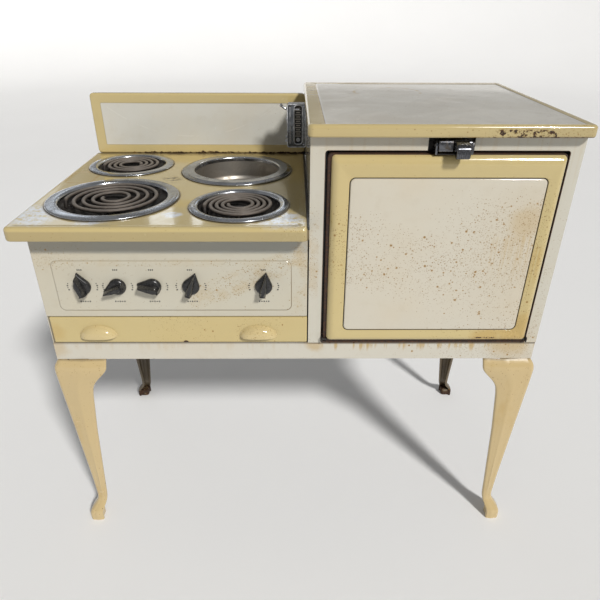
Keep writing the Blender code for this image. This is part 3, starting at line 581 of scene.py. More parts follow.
def base_enamel():
    low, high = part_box("base_frame")

    def wear(kit):
        under_oven = kit.step(kit.x, 0.0, 0.08)
        runs = streaks(kit, kit.x, high.z, 0.055, 95.0, 0.62) * (under_oven * 0.8 + 0.2)
        right_end = blotch(kit, (0.52, high.z), 0.065, kit.x, kit.z) | blotch(kit, (0.05, high.z), 0.03,
                                                                              kit.x, kit.z)
        left_end = blotch(kit, (low.x, high.z - 0.01), 0.045, kit.x, kit.z)
        chips = ragged(kit, high.z - kit.z, 0.005, 70.0, 0.38) * under_oven
        low_chips = ragged(kit, kit.z - low.z, 0.004, 60.0, 0.3)
        return {
            "chips": (chips | low_chips) & 1.0,
            "freckles": 0.06 + kit.step(kit.x, 0.22, 0.45) * 0.45,
            "drips": (runs * 0.95 | right_end * 0.65 | left_end * 0.45) & 1.0,
            # darker along the top edge where the body sits on it, most under the oven: painted shade
            "dirt_and_shade": kit.step(high.z - kit.z, 0.0052, 0.0012) * (0.5 + under_oven * 0.5),
        }

    return enamel("base enamel", (0.6, 0.57, 0.49), wear)


def leg_enamel():
    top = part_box("leg_front_left")[1].z

    def wear(kit):
        crown = top - kit.z
        upper = ragged(kit, crown, 0.02, 85.0, 0.36)
        inner = kit.step(abs(kit.x), 0.52, 0.48) * kit.step(crown, 0.04, 0.01)
        foot = ragged(kit, kit.z, 0.016, 120.0, 0.36)
        specks = kit.spots(60.0, 0.1, 0.16, 0.04)
        rear = kit.step(kit.y, 0.05, 0.15)
        return {
            "chips": (upper * (0.55 + inner * 0.6) | foot | specks | rear * ragged(kit, kit.z, 0.055, 60.0,
                                                                                   0.75)) & 1.0,
            "freckles": 0.05 + kit.step(crown, 0.12, 0.0) * 0.12,
            "drips": kit.cloud(0.52, 0.74, 11.0, 5.0, 0.7, kit.stretched(1.0, 1.0, 0.4)) * 0.45,
            # tone and the rear part of dirt_and_shade: painted shade that darkens the rear legs to dark olive
            "tone": rear * 0.85,
            "tone_b": (0.085, 0.07, 0.038),
            "dirt_and_shade": kit.step(crown, 0.006, 0.001) * 0.6 | rear * (0.84 + kit.cloud(0.3, 0.6, 9.0, 4.0, 0.7)
                                                                  * 0.16),
            "smears": kit.cloud(0.4, 0.7, 8.0, 4.0, 0.6) * 0.5,
        }

    return enamel("leg enamel", (0.56, 0.43, 0.222), wear)


def panel_enamel():
    """The plain outer panels of the body and the oven."""
    def wear(kit):
        rear = kit.step(kit.y, 0.28, 0.295)
        low_edge = kit.step(kit.z, 0.64, 0.606)
        front = kit.step(kit.y, -0.262, -0.272)
        right = kit.step(kit.x, 0.545, 0.565) * kit.step(kit.z, 1.0, 0.8)
        left_strip = kit.band(kit.x, 0.033, 0.05, 0.008) * kit.band(kit.z, 0.76, 0.92, 0.05)
        clump = kit.cloud(0.4, 0.66, 19.0, 4.0, 0.65)
        runs = streaks(kit, kit.x + kit.y, 1.09, 0.3, 90.0, 0.42)
        seam = kit.step(kit.z, 1.082, 1.0895) * 0.5
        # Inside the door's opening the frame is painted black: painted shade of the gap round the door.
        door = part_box("door_frame")
        opening = kit.edge(kit.x, kit.z, door[0].x - 0.005, door[1].x + 0.0055, door[0].z - 0.009,
                           door[1].z + 0.0048, 0.007)
        jamb_gap_shade = kit.step(opening, 0.0006, -0.0004) * front
        return {
            "chips": (ragged(kit, kit.z - 0.604, 0.006, 70.0, 0.34) | jamb_gap_shade) & 1.0,
            "freckles": (0.03 + (right * 0.6 + left_strip * 0.8) * front * (0.3 + clump * 0.7) + low_edge
                         * 0.2) & 1.0,
            "drips": (runs * 0.2 + rear * clump * 0.3 + low_edge * clump * 0.35 + left_strip * front * clump
                      * 0.3) & 1.0,
            "dirt_and_shade": (rear * kit.cloud(0.45, 0.75, 6.0, 5.0, 0.7) * 0.35 | seam) & 1.0,
        }

    return enamel("panel enamel", (0.58, 0.555, 0.475), wear)


def chrome(name="chrome trim", grime=0.4, tone=(0.6, 0.62, 0.66), patch=9.0):
    """Bright plating gone hazy, with pits and brown grime."""
    kit = Kit(name)
    haze = kit.cloud(0.38, 0.72, 22.0, 5.0, 0.7)
    pits = kit.spots(900.0, 0.3, 0.4, 0.1)
    patches = kit.cloud(0.52, 0.7, 48.0, 5.0, 0.72, distortion=0.7) * grime
    worn = kit.cloud(0.4, 0.62, patch, 3.0, 0.6)
    colour = kit.mix(haze * 0.4 + worn * 0.45, tone, scaled(tone, 0.42))
    colour = kit.mix((pits * 0.5 | patches) & 1.0, colour, (0.085, 0.066, 0.046))
    fine = kit.noise(1.0, 2.0, 0.5, kit.stretched(260.0, 260.0, 260.0))
    roughness = 0.13 + haze * 0.16 + patches * 0.3 + fine * 0.05
    height = kit.noise(60.0, 2.0) * 0.1 - pits * 0.12
    return kit.finish(colour, roughness, 1.0 - patches * 0.6, height, 0.0006)


def dull_aluminium():
    """The deep well: spun metal gone grey-brown, with water marks, turned rings and painted shade towards the
    bottom.
    """
    kit = Kit("well aluminium")
    low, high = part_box("well_liner")
    middle = (low + high) / 2
    turned = kit.noise(1.0, 2.0, 0.5, kit.node("ShaderNodeCombineXYZ", None, {
        0: kit.ring(middle, 0.0) * 900.0, 1: kit.z * 900.0, 2: 0.0}))
    scale = kit.cloud(0.4, 0.72, 13.0, 6.0, 0.72, distortion=0.6)
    tide = kit.band(kit.z + (kit.noise(18.0, 3.0) - 0.5) * 0.012, 0.846, 0.85, 0.006)
    # deep: painted shade, darker and rougher towards the bottom of the well
    deep = kit.step(kit.z, 0.86, 0.72)
    colour = kit.mix(scale * 0.7, (0.5, 0.47, 0.42), (0.26, 0.215, 0.165))
    colour = kit.mix(tide * 0.6 + deep * 0.8 & 1.0, colour, (0.13, 0.098, 0.066))
    roughness = 0.36 + scale * 0.2 + turned * 0.08 + deep * 0.3
    return kit.finish(colour, roughness, 0.92, turned * 0.06 + scale * 0.1, 0.0005)


def coil_metal():
    """Sheathed coil: oxidised, grey-brown, lighter on the tops where pans have rubbed them and as a painted
    highlight, and near black below them as painted shade.
    """
    kit = Kit("coil sheath")
    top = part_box("surface_coil_front_left")[1].z
    scale = kit.cloud(0.36, 0.7, 85.0, 5.0, 0.7)
    # rubbed: tops rubbed by pans, and a painted highlight on them
    rubbed = kit.step(kit.z, top - 0.0034, top - 0.0004) * (0.35 + kit.noise(36.0, 4.0, 0.7) * 0.7)
    colour = kit.mix(scale * 0.75, (0.08, 0.066, 0.057), (0.165, 0.132, 0.106))
    # painted shade: near black below the top, down the sides of the tube
    colour = kit.mix(kit.step(kit.z, top - 0.003, top - 0.007) * 0.85, colour, (0.014, 0.012, 0.011))
    colour = kit.mix(rubbed & 0.85, colour, (0.34, 0.305, 0.27))
    grain = kit.noise(420.0, 3.0, 0.6)
    return kit.finish(colour, 0.46 + scale * 0.22 + grain * 0.1, 0.55, grain * 0.25 + scale * 0.2, 0.0004)


def burnt_steel():
    """Drip bowls, the door's hinges and the parts under the latch: black baked-on grease over steel."""
    kit = Kit("burnt steel")
    crust = kit.cloud(0.42, 0.66, 55.0, 6.0, 0.75)
    flakes = kit.spots(210.0, 0.35, 0.42, 0.14)
    colour = kit.mix(crust * 0.85, (0.05, 0.045, 0.041), (0.012, 0.01, 0.009))
    colour = kit.mix(flakes * 0.4, colour, (0.17, 0.13, 0.095))
    return kit.finish(colour, 0.38 + crust * 0.4, 0.45 - crust * 0.3, crust * 0.5 + flakes * 0.35, 0.0007)


def speckled_enamel():
    """The oven's inside: dark grey-blue enamel with pale specks."""
    kit = Kit("oven lining enamel")
    specks = kit.spots(330.0, 0.55, 0.34, 0.08)
    stains = kit.cloud(0.5, 0.74, 9.0, 5.0, 0.7)
    colour = kit.mix(specks * 0.85, (0.022, 0.025, 0.032), (0.33, 0.34, 0.35))
    colour = kit.mix(stains * 0.75, colour, (0.05, 0.032, 0.02))
    return kit.finish(colour, 0.24 + stains * 0.42, 0.0, kit.noise(60.0, 2.0) * 0.25, 0.0006)


def plain_steel():
    """Zinc-coated sheet and wire of the parts that rarely show."""
    kit = Kit("zinc steel")
    spangle = kit.node("ShaderNodeTexVoronoi", None, {"Vector": kit.place, "Scale": 85.0}, "Color")
    facet = kit.node("ShaderNodeSeparateColor", None, {0: spangle})
    rust = kit.cloud(0.56, 0.74, 17.0, 6.0, 0.72)
    colour = kit.mix(facet * 0.5, (0.33, 0.335, 0.34), (0.46, 0.465, 0.47))
    colour = kit.mix(rust * 0.8, colour, (0.23, 0.105, 0.04))
    return kit.finish(colour, 0.34 + facet * 0.12 + rust * 0.35, 0.95 - rust * 0.75, rust * 0.4, 0.0005)


def moulded_black():
    """Moulded knobs: black with a soft shine, paler dust in the low places and fine scuffs."""
    kit = Kit("black moulding")
    wear = kit.cloud(0.48, 0.72, 95.0, 5.0, 0.7)
    dust = kit.cloud(0.45, 0.75, 30.0, 4.0, 0.6) * 0.5
    scratches = kit.cloud(0.62, 0.7, 1.0, 3.0, 0.6, kit.stretched(500.0, 90.0, 120.0))
    colour = kit.mix(wear * 0.3 + dust * 0.25, tuple(colours().moulding), (0.075, 0.07, 0.064))
    return kit.finish(colour, 0.27 + wear * 0.16 + scratches * 0.18, 0.0, kit.noise(150.0, 2.0) * 0.2,
                      0.0004, {"Specular IOR Level": 0.5})


def mineral_wool():
    kit = Kit("mineral wool")
    fibre = kit.noise(240.0, 6.0, 0.75, distortion=2.0)
    lumps = kit.noise(28.0, 4.0, 0.6)
    colour = kit.mix(fibre, (0.4, 0.31, 0.15), (0.7, 0.6, 0.38))
    return kit.finish(colour, 0.85 + fibre * 0.12, 0.0, fibre * 0.6 + lumps * 1.2, 0.004)


def printed_mark():
    """Worn black print, and the black strips beside the oven's wall that stand in for the shade in the gaps
    there.
    """
    kit = Kit("printed mark")
    gone = kit.cloud(0.56, 0.7, 700.0, 3.0, 0.6)
    return kit.finish(kit.mix(gone * 0.6, (0.03, 0.03, 0.032), (0.4, 0.39, 0.36)), 0.3 + gone * 0.2)


def scale_plate():
    """The dark plate behind the heat control's lever."""
    kit = Kit("scale plate")
    dust = kit.cloud(0.4, 0.72, 90.0, 5.0, 0.7)
    colour = kit.mix(dust * 0.55, (0.03, 0.031, 0.034), (0.13, 0.12, 0.105))
    return kit.finish(colour, 0.34 + dust * 0.3, 0.3, kit.noise(200.0, 2.0) * 0.3, 0.0003)


def latch_plating():
    """Plating gone dark and mottled by hands and heat."""
    return chrome("latch plating", 0.9, (0.17, 0.175, 0.19), 150.0)


def control_plating():
    return chrome("control plating", 0.8, (0.15, 0.16, 0.175), 60.0)


def painted_highlight_plating():
    """The beads, stripes and lugs of the heat control: near-white colour as a painted highlight on the
    plating, rubbed dull in places.
    """
    kit = Kit("bright plating")
    rubbed = kit.cloud(0.46, 0.6, 150.0, 3.0, 0.6)
    colour = kit.mix(rubbed * 0.75, (0.88, 0.9, 0.94), (0.22, 0.225, 0.24))
    return kit.finish(colour, 0.18 + rubbed * 0.25, 0.25)


def floor_finish():
    kit = Kit("pale floor")
    cloud = kit.noise(1.3, 3.0)
    return kit.finish(kit.mix(cloud, (0.92, 0.92, 0.918), (0.89, 0.89, 0.888)), 0.75, 0.0,
                      kit.noise(35.0, 3.0), 0.0004)


MAKERS = {
    "cooktop": cooktop_enamel, "splash": splash_enamel, "oven top": oven_top_enamel,
    "door border": door_frame_enamel, "door panel": door_panel_enamel,
          "control panel": control_panel_enamel,
    "tray": tray_enamel, "pull": pull_enamel, "base": base_enamel, "leg": leg_enamel, "panel": panel_enamel,
    "chrome": chrome, "well": dull_aluminium, "coil": coil_metal, "burnt": burnt_steel,
    "speckled": speckled_enamel, "zinc": plain_steel, "black": moulded_black, "wool": mineral_wool,
    "print": printed_mark, "plate": scale_plate, "latch": latch_plating, "dark plate": control_plating,
    "bright bead": painted_highlight_plating, "floor": floor_finish,
}
MADE = {}


def material(name):
    if name not in MADE:
        MADE[name] = MAKERS[name]()
    return MADE[name]


# ---- shapes ------------------------------------------------------------------------------------------
def mesh_object(name, points, faces):
    mesh = bpy.data.meshes.new(name)
    mesh.from_pydata([tuple(point) for point in points], [], faces)
    bm = bmesh.new()
    bm.from_mesh(mesh)
    bmesh.ops.remove_doubles(bm, verts=bm.verts, dist=1e-6)
    bmesh.ops.recalc_face_normals(bm, faces=bm.faces)
    bm.to_mesh(mesh)
    bm.free()
    obj = bpy.data.objects.new(name, mesh)
    bpy.context.scene.collection.objects.link(obj)
    return obj


def skin(name, loops, closed=True, ring=False, first=False, last=False):
    """Faces between equal loops. closed joins each loop's ends, and ring joins the last loop to the first."""
    count = len(loops[0])
    stack = len(loops)
    faces = []
    for i in range(stack if ring else stack - 1):
        a, b = i * count, ((i + 1) % stack) * count
        for j in range(count if closed else count - 1):
            k = (j + 1) % count
            faces.append((a + j, a + k, b + k, b + j))
    if first:
        faces.append(tuple(reversed(range(count))))
    if last:
        faces.append(tuple(range((stack - 1) * count, stack * count)))
    return mesh_object(name, [point for loop in loops for point in loop], faces)


def rim(left, right, low, top, radius, steps=7):
    """Points of a rectangle with round corners, anticlockwise."""
    radius = max(radius, 1e-4)
    centres = ((right - radius, low + radius, -90), (right - radius, top - radius, 0),
               (left + radius, top - radius, 90), (left + radius, low + radius, 180))
    return [(x + radius * cos(radians(start + 90 * i / steps)),
             y + radius * sin(radians(start + 90 * i / steps)))
            for x, y, start in centres for i in range(steps + 1)]


def dish(name, plane, layers, cap=True, steps=7):
    """A pressed sheet: a stack of round-cornered rectangles, each (left, right, low, top, radius, depth).

    plane is XY with depth along Z, or XZ with depth along Y."""
    loops = []
    for left, right, low, top, radius, depth in layers:
        flat = rim(left, right, low, top, radius, steps)
        loops.append([(a, b, depth) if plane == "XY" else (a, depth, b) for a, b in flat])
    return skin(name, loops, last=cap)


def inset(box, by, *rest):
    """box = (left, right, low, top) drawn in by one margin or by four of them, then what follows."""
    left, right, low, top = by if isinstance(by, tuple) else (by, by, by, by)
    return (box[0] + left, box[1] - right, box[2] + low, box[3] - top, *rest)


def arc(start, end, steps, bend):
    """Points of a quarter round. bend 0 leaves the start along the first number, 1 along the second."""
    points = []
    for i in range(1, steps + 1):
        angle = pi / 2 * i / steps
        first, second = (sin(angle), 1 - cos(angle)) if bend == 0 else (1 - cos(angle), sin(angle))
        points.append((start[0] + (end[0] - start[0]) * first, start[1] + (end[1] - start[1]) * second))
    return points


def turned(name, profile, centre, segments=96, axis="Z"):
    """A closed profile of (radius, height) turned about an axis through centre."""
    loops = []
    for i in range(segments):
        c, s = cos(2 * pi * i / segments), sin(2 * pi * i / segments)
        loops.append([Vector(centre) + (Vector((r * c, r * s, h)) if axis == "Z" else
                                        Vector((r * c, h, r * s)) if axis == "Y"
                                        else Vector((h, r * c, r * s))) for r, h in profile])
    return skin(name, loops, ring=True)


def tube(name, path, radius, sides=12, closed=False, flat=1.0):
    """A round bar along a path, free of twists. flat below 1 presses its height."""
    points = [Vector(p) for p in path]
    count = len(points)
    side = None
    loops = []
    for i, point in enumerate(points):
        before = points[i - 1] if closed or i else point
        after = points[(i + 1) % count] if closed or i < count - 1 else point
        along = (after - before).normalized()
        if side is None:
            side = along.cross(Vector((0, 0, 1)))
            if side.length < 1e-3:
                side = along.cross(Vector((0, 1, 0)))
        side = (side - along * side.dot(along)).normalized()
        up = side.cross(along)
        loops.append([point + side * (radius * cos(2 * pi * k / sides)) + up
                      * (radius * flat * sin(2 * pi * k / sides))
                      for k in range(sides)])
    return skin(name, loops, ring=closed, first=not closed, last=not closed)


def smooth_path(points, steps=8):
    """A smooth curve through points."""
    places = [Vector(p) for p in points]
    last = len(places) - 1
    out = []
    for i in range(last):
        p0, p1, p2, p3 = places[max(i - 1, 0)], places[i], places[i + 1], places[min(i + 2, last)]
        for k in range(steps):
            t = k / steps
            out.append(0.5 * ((2 * p1) + (p2 - p0) * t + (2 * p0 - 5 * p1 + 4 * p2 - p3) * t ** 2
                              + (3 * p1 - p0 - 3 * p2 + p3) * t ** 3))
    return out + [places[-1]]


def prism(name, flat, along, start, end):
    """A flat outline in the other two axes, pushed from start to end along an axis."""
    def place(a, b, depth):
        return {"X": (depth, a, b), "Y": (a, depth, b), "Z": (a, b, depth)}[along]
    return skin(name, [[place(a, b, start) for a, b in flat], [place(a, b, end) for a, b in flat]],
                first=True, last=True)


def spoke(name, flat, half, centre, angle):
    """A flat bar on edge, given by radius and height, turned to its angle about a centre."""
    bar = prism(name, flat, "Y", -half, half)
    bar.data.transform(Matrix.Translation(centre) @ Matrix.Rotation(radians(angle), 4, "Z"))
    return bar


def block(name, low, high):
    return prism(name, [(low[0], low[1]), (high[0], low[1]), (high[0], high[1]), (low[0], high[1])], "Z",
                 low[2], high[2])


def rounded(obj, width, segments=3, angle=35.0):
    bevel = obj.modifiers.new("rounded edges", "BEVEL")
    bevel.width = width
    bevel.segments = segments
    bevel.limit_method = "ANGLE"
    bevel.angle_limit = radians(angle)
    bevel.harden_normals = False
    return obj


def thick(obj, by=SHEET, offset=-1.0):
    solid = obj.modifiers.new("sheet", "SOLIDIFY")
    solid.thickness = by
    solid.offset = offset
    solid.use_even_offset = True
    return obj


def apply(obj):
    """Makes the modifiers part of the mesh."""
    bpy.context.view_layer.update()
    graph = bpy.context.evaluated_depsgraph_get()
    mesh = bpy.data.meshes.new_from_object(obj.evaluated_get(graph))
    obj.modifiers.clear()
    obj.data = mesh
    return obj


def combine(obj, others, operation="DIFFERENCE"):
    """Cuts the others from obj, or joins them to it, and removes them."""
    apply(obj)
    for other in others:
        apply(other)
        change = obj.modifiers.new(other.name, "BOOLEAN")
        change.operation = operation
        change.solver = "EXACT"
        change.object = other
        apply(obj)
        bpy.data.objects.remove(other)
    return obj


def gather(name, objects):
    """One object from several, none of which is changed."""
    bm = bmesh.new()
    for obj in objects:
        apply(obj)
        bm.from_mesh(obj.data)
        bpy.data.objects.remove(obj)
    mesh = bpy.data.meshes.new(name)
    bm.to_mesh(mesh)
    bm.free()
    made = bpy.data.objects.new(name, mesh)
    bpy.context.scene.collection.objects.link(made)
    return made


def settle(obj, finish, body, nodes=(), angle=38.0):
    """Applies, smooths and finishes a piece, and hands it to its body."""
    apply(obj)
    mesh = obj.data
    mesh.shade_smooth()
    mesh.set_sharp_from_angle(angle=radians(angle))
    mesh.materials.clear()
    mesh.materials.append(material(finish))
    weighted = obj.modifiers.new("face normals", "WEIGHTED_NORMAL")
    weighted.keep_sharp = True
    weighted.weight = 80
    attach(obj, body)
    if nodes:
        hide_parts(*nodes)
    return obj


def keep(node, finish, bevel=0.0005):
    """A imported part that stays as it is, with softer edges and a better finish."""
    obj = frame["nodes"][node]
    obj.data.materials.clear()
    obj.data.materials.append(material(finish))
    if bevel:
        rounded(obj, bevel, 2, 40.0)
        weighted = obj.modifiers.new("face normals", "WEIGHTED_NORMAL")
        weighted.keep_sharp = True


def screw_head(name, place, outward, radius=0.0042):
    """A slotted round-head screw that faces along outward, one of -X, X, -Y, Y or Z."""
    tall = radius * 0.52
    dome = [(radius * sin(radians(a)) ** 0.8, tall * cos(radians(a))) for a in range(5, 91, 17)]
    head = turned(name, dome + [(radius, -0.0006), (AXIS, -0.0006), (AXIS, tall)], (0, 0, 0), 20)
    slot = block(name + " slot", (-radius * 1.2, -radius * 0.13, tall * 0.45),
                 (radius * 1.2, radius * 0.13, tall * 2))
    spun = Matrix.Rotation(radians(37.0 * (sum(map(ord, name)) % 7)), 4, "Z")
    slot.data.transform(spun)
    combine(head, [slot])
    turn = {"-Y": Matrix.Rotation(pi / 2, 4, "X"), "Y": Matrix.Rotation(-pi / 2, 4, "X"),
            "Z": Matrix.Identity(4),
            "-X": Matrix.Rotation(-pi / 2, 4, "Y"), "X": Matrix.Rotation(pi / 2, 4, "Y")}[outward]
    head.data.transform(Matrix.Translation(place) @ turn)
    return head


def screws(name, groups, body="range"):
    """One piece from named groups of screw heads, each group a list of places and the way each faces."""
    heads = [screw_head(f"{kind} {i}", place, way) for kind, rows in groups.items()
             for i, (place, way) in enumerate(rows)]
    settle(gather(name, heads), "zinc", body)


# ---- tops --------------------------------------------------------------------------------------------
def make_cooktop():
    low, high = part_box("cooktop")
    plan = (low.x - 0.0005, high.x, low.y, high.y)
    roll, corner = sizes().roll, sizes().top_corner
    edge = [(0.0, high.z - roll)] + arc((0.0, high.z - roll), (roll, high.z), 6, 1)
    layers = [inset(plan, 0.005, corner - 0.005, low.z + 0.001), inset(plan, 0.002, corner - 0.002, low.z),
              inset(plan, 0.0004, corner, low.z + 0.0012), inset(plan, 0.0, corner, low.z + 0.004)]
    layers += [inset(plan, by, max(corner - by, 0.004), z) for by, z in edge]
    layers += [inset(plan, 0.013, 0.012, high.z + 0.0002), inset(plan, 0.018, 0.012, high.z - 0.0006),
               inset(plan, 0.023, 0.012, high.z - 0.0008)]
    top = thick(dish("cooktop_enamel", "XY", layers, steps=9))
    cutters = []
    for name in ROUND_TRIMS:
        ring_low, ring_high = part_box(name)
        middle = middle_of(name)
        hole = max((ring_high.x - ring_low.x) / 2 - (0.034 if name == "well_collar" else 0.0185), 0.06)
        cutters.append(turned(f"hole {name}", [(AXIS, -0.02), (hole, -0.02), (hole, 0.02), (AXIS, 0.02)],
                              (middle.x, middle.y, high.z), 72))
    combine(top, cutters)
    settle(top, "cooktop", "range", ["cooktop"], 50)
    # Black strips fill the gaps at the cooking top's right edge and at the splash's end, beside the oven's
    # wall: painted shade.
    splash_low, splash_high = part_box("backsplash")
    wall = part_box("oven_left_panel")[0].x + 0.0002
    joint = block("cooktop_gap_shade", (high.x - 0.004, low.y + 0.0065, high.z - 0.006),
                  (high.x + 0.0004, splash_low.y, high.z + 0.0008))
    settle(rounded(joint, 0.0006, 2), "print", "range")
    seam = [block(f"seam {i}", (splash_high.x - back, splash_low.y + margin, high.z - 0.004),
                  (wall, splash_high.y - margin, top))
            for i, (back, margin, top) in enumerate(((0.0002, 0.004, splash_high.z - 0.006),
                                                     (0.01, 0.006, high.z + 0.01)))]
    settle(gather("splash_gap_shade", seam), "print", "range")


def make_splash():
    low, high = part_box("backsplash")
    plan = (low.x, high.x, low.z, high.z)
    front, back = low.y, high.y
    edge = [(0.0, front + 0.006)] + arc((0.0, front + 0.006), (0.006, front), 6, 1)
    layers = [inset(plan, 0.0, 0.01, back), inset(plan, 0.0, 0.01, back - 0.002)]
    layers += [inset(plan, by, max(0.01 - by * 0.6, 0.004), y) for by, y in edge]
    for more, radius, y in ((-0.002, 0.005, front), (0.0, 0.004, front + 0.0007),
                            (0.003, 0.003, front + 0.0009)):
        layers.append(inset(plan, tuple(margin + more for margin in SPLASH_FIELD), radius, y))
    settle(thick(dish("backsplash_enamel", "XZ", layers)), "splash", "range",
           ["backsplash"], 50)


def make_oven_top():
    low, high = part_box("oven_top")
    plan = (low.x, high.x, low.y, high.y)
    roll = 0.0075
    edge = [(0.0, high.z - roll)] + arc((0.0, high.z - roll), (roll, high.z), 6, 1)
    layers = [inset(plan, 0.0045, 0.008, low.z + 0.001), inset(plan, 0.0018, 0.01, low.z),
              inset(plan, 0.0, 0.012, low.z + 0.003)]
    layers += [inset(plan, by, max(0.012 - by * 0.7, 0.004), z) for by, z in edge]
    for more, radius, z in ((-0.0025, 0.006, high.z), (0.0, 0.005, high.z - 0.0008),
                            (0.004, 0.004, high.z - 0.001)):
        layers.append(inset(plan, tuple(margin + more for margin in TOP_FIELD), radius, z))
    settle(thick(dish("oven_top_enamel", "XY", layers)), "oven top", "range", ["oven_top"],
           50)


# ---- burners and well --------------------------------------------------------------------------------
def make_burners():
    for name in BURNERS:
        make_burner(name)


def make_burner(name):
    low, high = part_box(f"trim_ring_{name}")
    centre = ((low.x + high.x) / 2, (low.y + high.y) / 2, COOK_Z)
    outer = (high.x - low.x) / 2
    inner = outer - RING_WIDTH[name]
    ring = [(outer - 0.0006, 0.0004), (outer, 0.0012), (outer - 0.0003, 0.0024), (outer - 0.0018, 0.0036),
            (outer - 0.004, 0.0042), (outer - 0.0075, 0.0046), ((outer + inner) / 2, 0.0052),
            (inner + 0.0075, 0.005), (inner + 0.0045, 0.0045), (inner + 0.0024, 0.0034),
            (inner + 0.0008, 0.0012), (inner, -0.0025), (inner + 0.0009, -0.0025), (inner + 0.0018, 0.0006),
            (inner + 0.0035, 0.0022), (inner + 0.007, 0.0032), ((outer + inner) / 2, 0.0036),
            (outer - 0.006, 0.003), (outer - 0.0025, 0.0022), (outer - 0.0018, 0.0004)]
    settle(turned(f"ring_{name}", ring, centre, 128), "chrome", "range", [f"trim_ring_{name}"],
           60)

    floor, deep, wall = inner * 0.62, 0.0355, 0.0009
    outside = [(inner + 0.011, 0.0006), (inner + 0.004, 0.0006), (inner + 0.0016, -0.003),
               (inner + 0.0012, -0.0085), (inner - 0.004, -0.014), (floor + 0.018, -deep + 0.009),
               (floor + 0.006, -deep + 0.002), (floor, -deep), (floor * 0.8, -deep),
               (floor * 0.76, -deep + 0.0022), (floor * 0.62, -deep + 0.0022), (floor * 0.58, -deep),
               (0.016, -deep), (0.0135, -deep + 0.0018)]
    inside = [(r - (wall if i > 2 and r > floor * 0.9 else 0), z + wall) for i,
              (r, z) in enumerate(outside)]
    bowl = turned(f"bowl_{name}", outside + inside[::-1], centre, 80)
    settle(bowl, "burnt", "range", [f"drip_bowl_{name}"], 60)

    tube_radius = sizes().coil_tube
    pieces = [tube(f"coil {name}", coil_path(centre, 0.024, inner - 0.0145, COIL_TURNS[name],
                                             COOK_Z + 0.0012, pi * 1.02), tube_radius, 12, flat=0.88)]
    reach = inner - 0.008
    for angle in (35, 155, 275):
        flat = [(0.004, -0.004), (0.01, -0.013), (reach * 0.55, -0.015), (reach - 0.006, -0.011),
                (reach, -0.006), (reach, 0.003), (reach - 0.002, 0.003), (reach - 0.0024, -0.0042)]
        pieces.append(spoke(f"arm {name} {angle}", flat, 0.0009, centre, angle))
    hub = turned(f"hub {name}", [(AXIS, -0.004), (0.0115, -0.004), (0.0125, -0.0052), (0.0125, -0.012),
                                 (0.0115, -0.012), (0.011, -0.0056), (AXIS, -0.005)], centre, 32)
    pieces.append(hub)
    end = Vector((centre[0] - (inner - 0.0145), centre[1], COOK_Z - 0.022))
    pieces.append(turned(f"terminal {name}", [(AXIS, -0.007), (0.005, -0.007), (0.0062, -0.005),
                                              (0.0062, 0.005), (0.005, 0.007), (AXIS, 0.007)], end, 18))
    settle(gather(f"coil_{name}", pieces), "coil", "range", [f"surface_coil_{name}"], 45)


def coil_path(centre, inner, outer, turns, z, end_angle, per_turn=44):
    """A flat spiral. Its outer end leans over into the bowl, and its inner end dips to the hub."""
    count = int(turns * per_turn)
    points = []
    for i in range(count + 1):
        share = i / count
        angle = end_angle - 2 * pi * turns * (1 - share)
        radius = inner + (outer - inner) * share
        points.append(Vector((centre[0] + radius * cos(angle), centre[1] + radius * sin(angle), z)))
    ahead = (points[-1] - points[-2]).normalized()
    inward = (Vector((centre[0], centre[1], z)) - points[-1]).normalized()
    for forward, drop in ((0.003, 0.0006), (0.006, 0.0024), (0.0085, 0.0052), (0.01, 0.009),
                          (0.0108, 0.0135), (0.0112, 0.018)):
        points.append(points[count] + ahead * forward + inward * forward * 0.12 - Vector((0, 0, drop)))
    first = points[0]
    back = (points[0] - points[1]).normalized()
    lead = [first + back * forward - Vector((0, 0, drop)) for forward, drop in
            ((0.0085, 0.013), (0.008, 0.009), (0.0066, 0.005), (0.0045, 0.002), (0.0022, 0.0004))]
    return lead + points


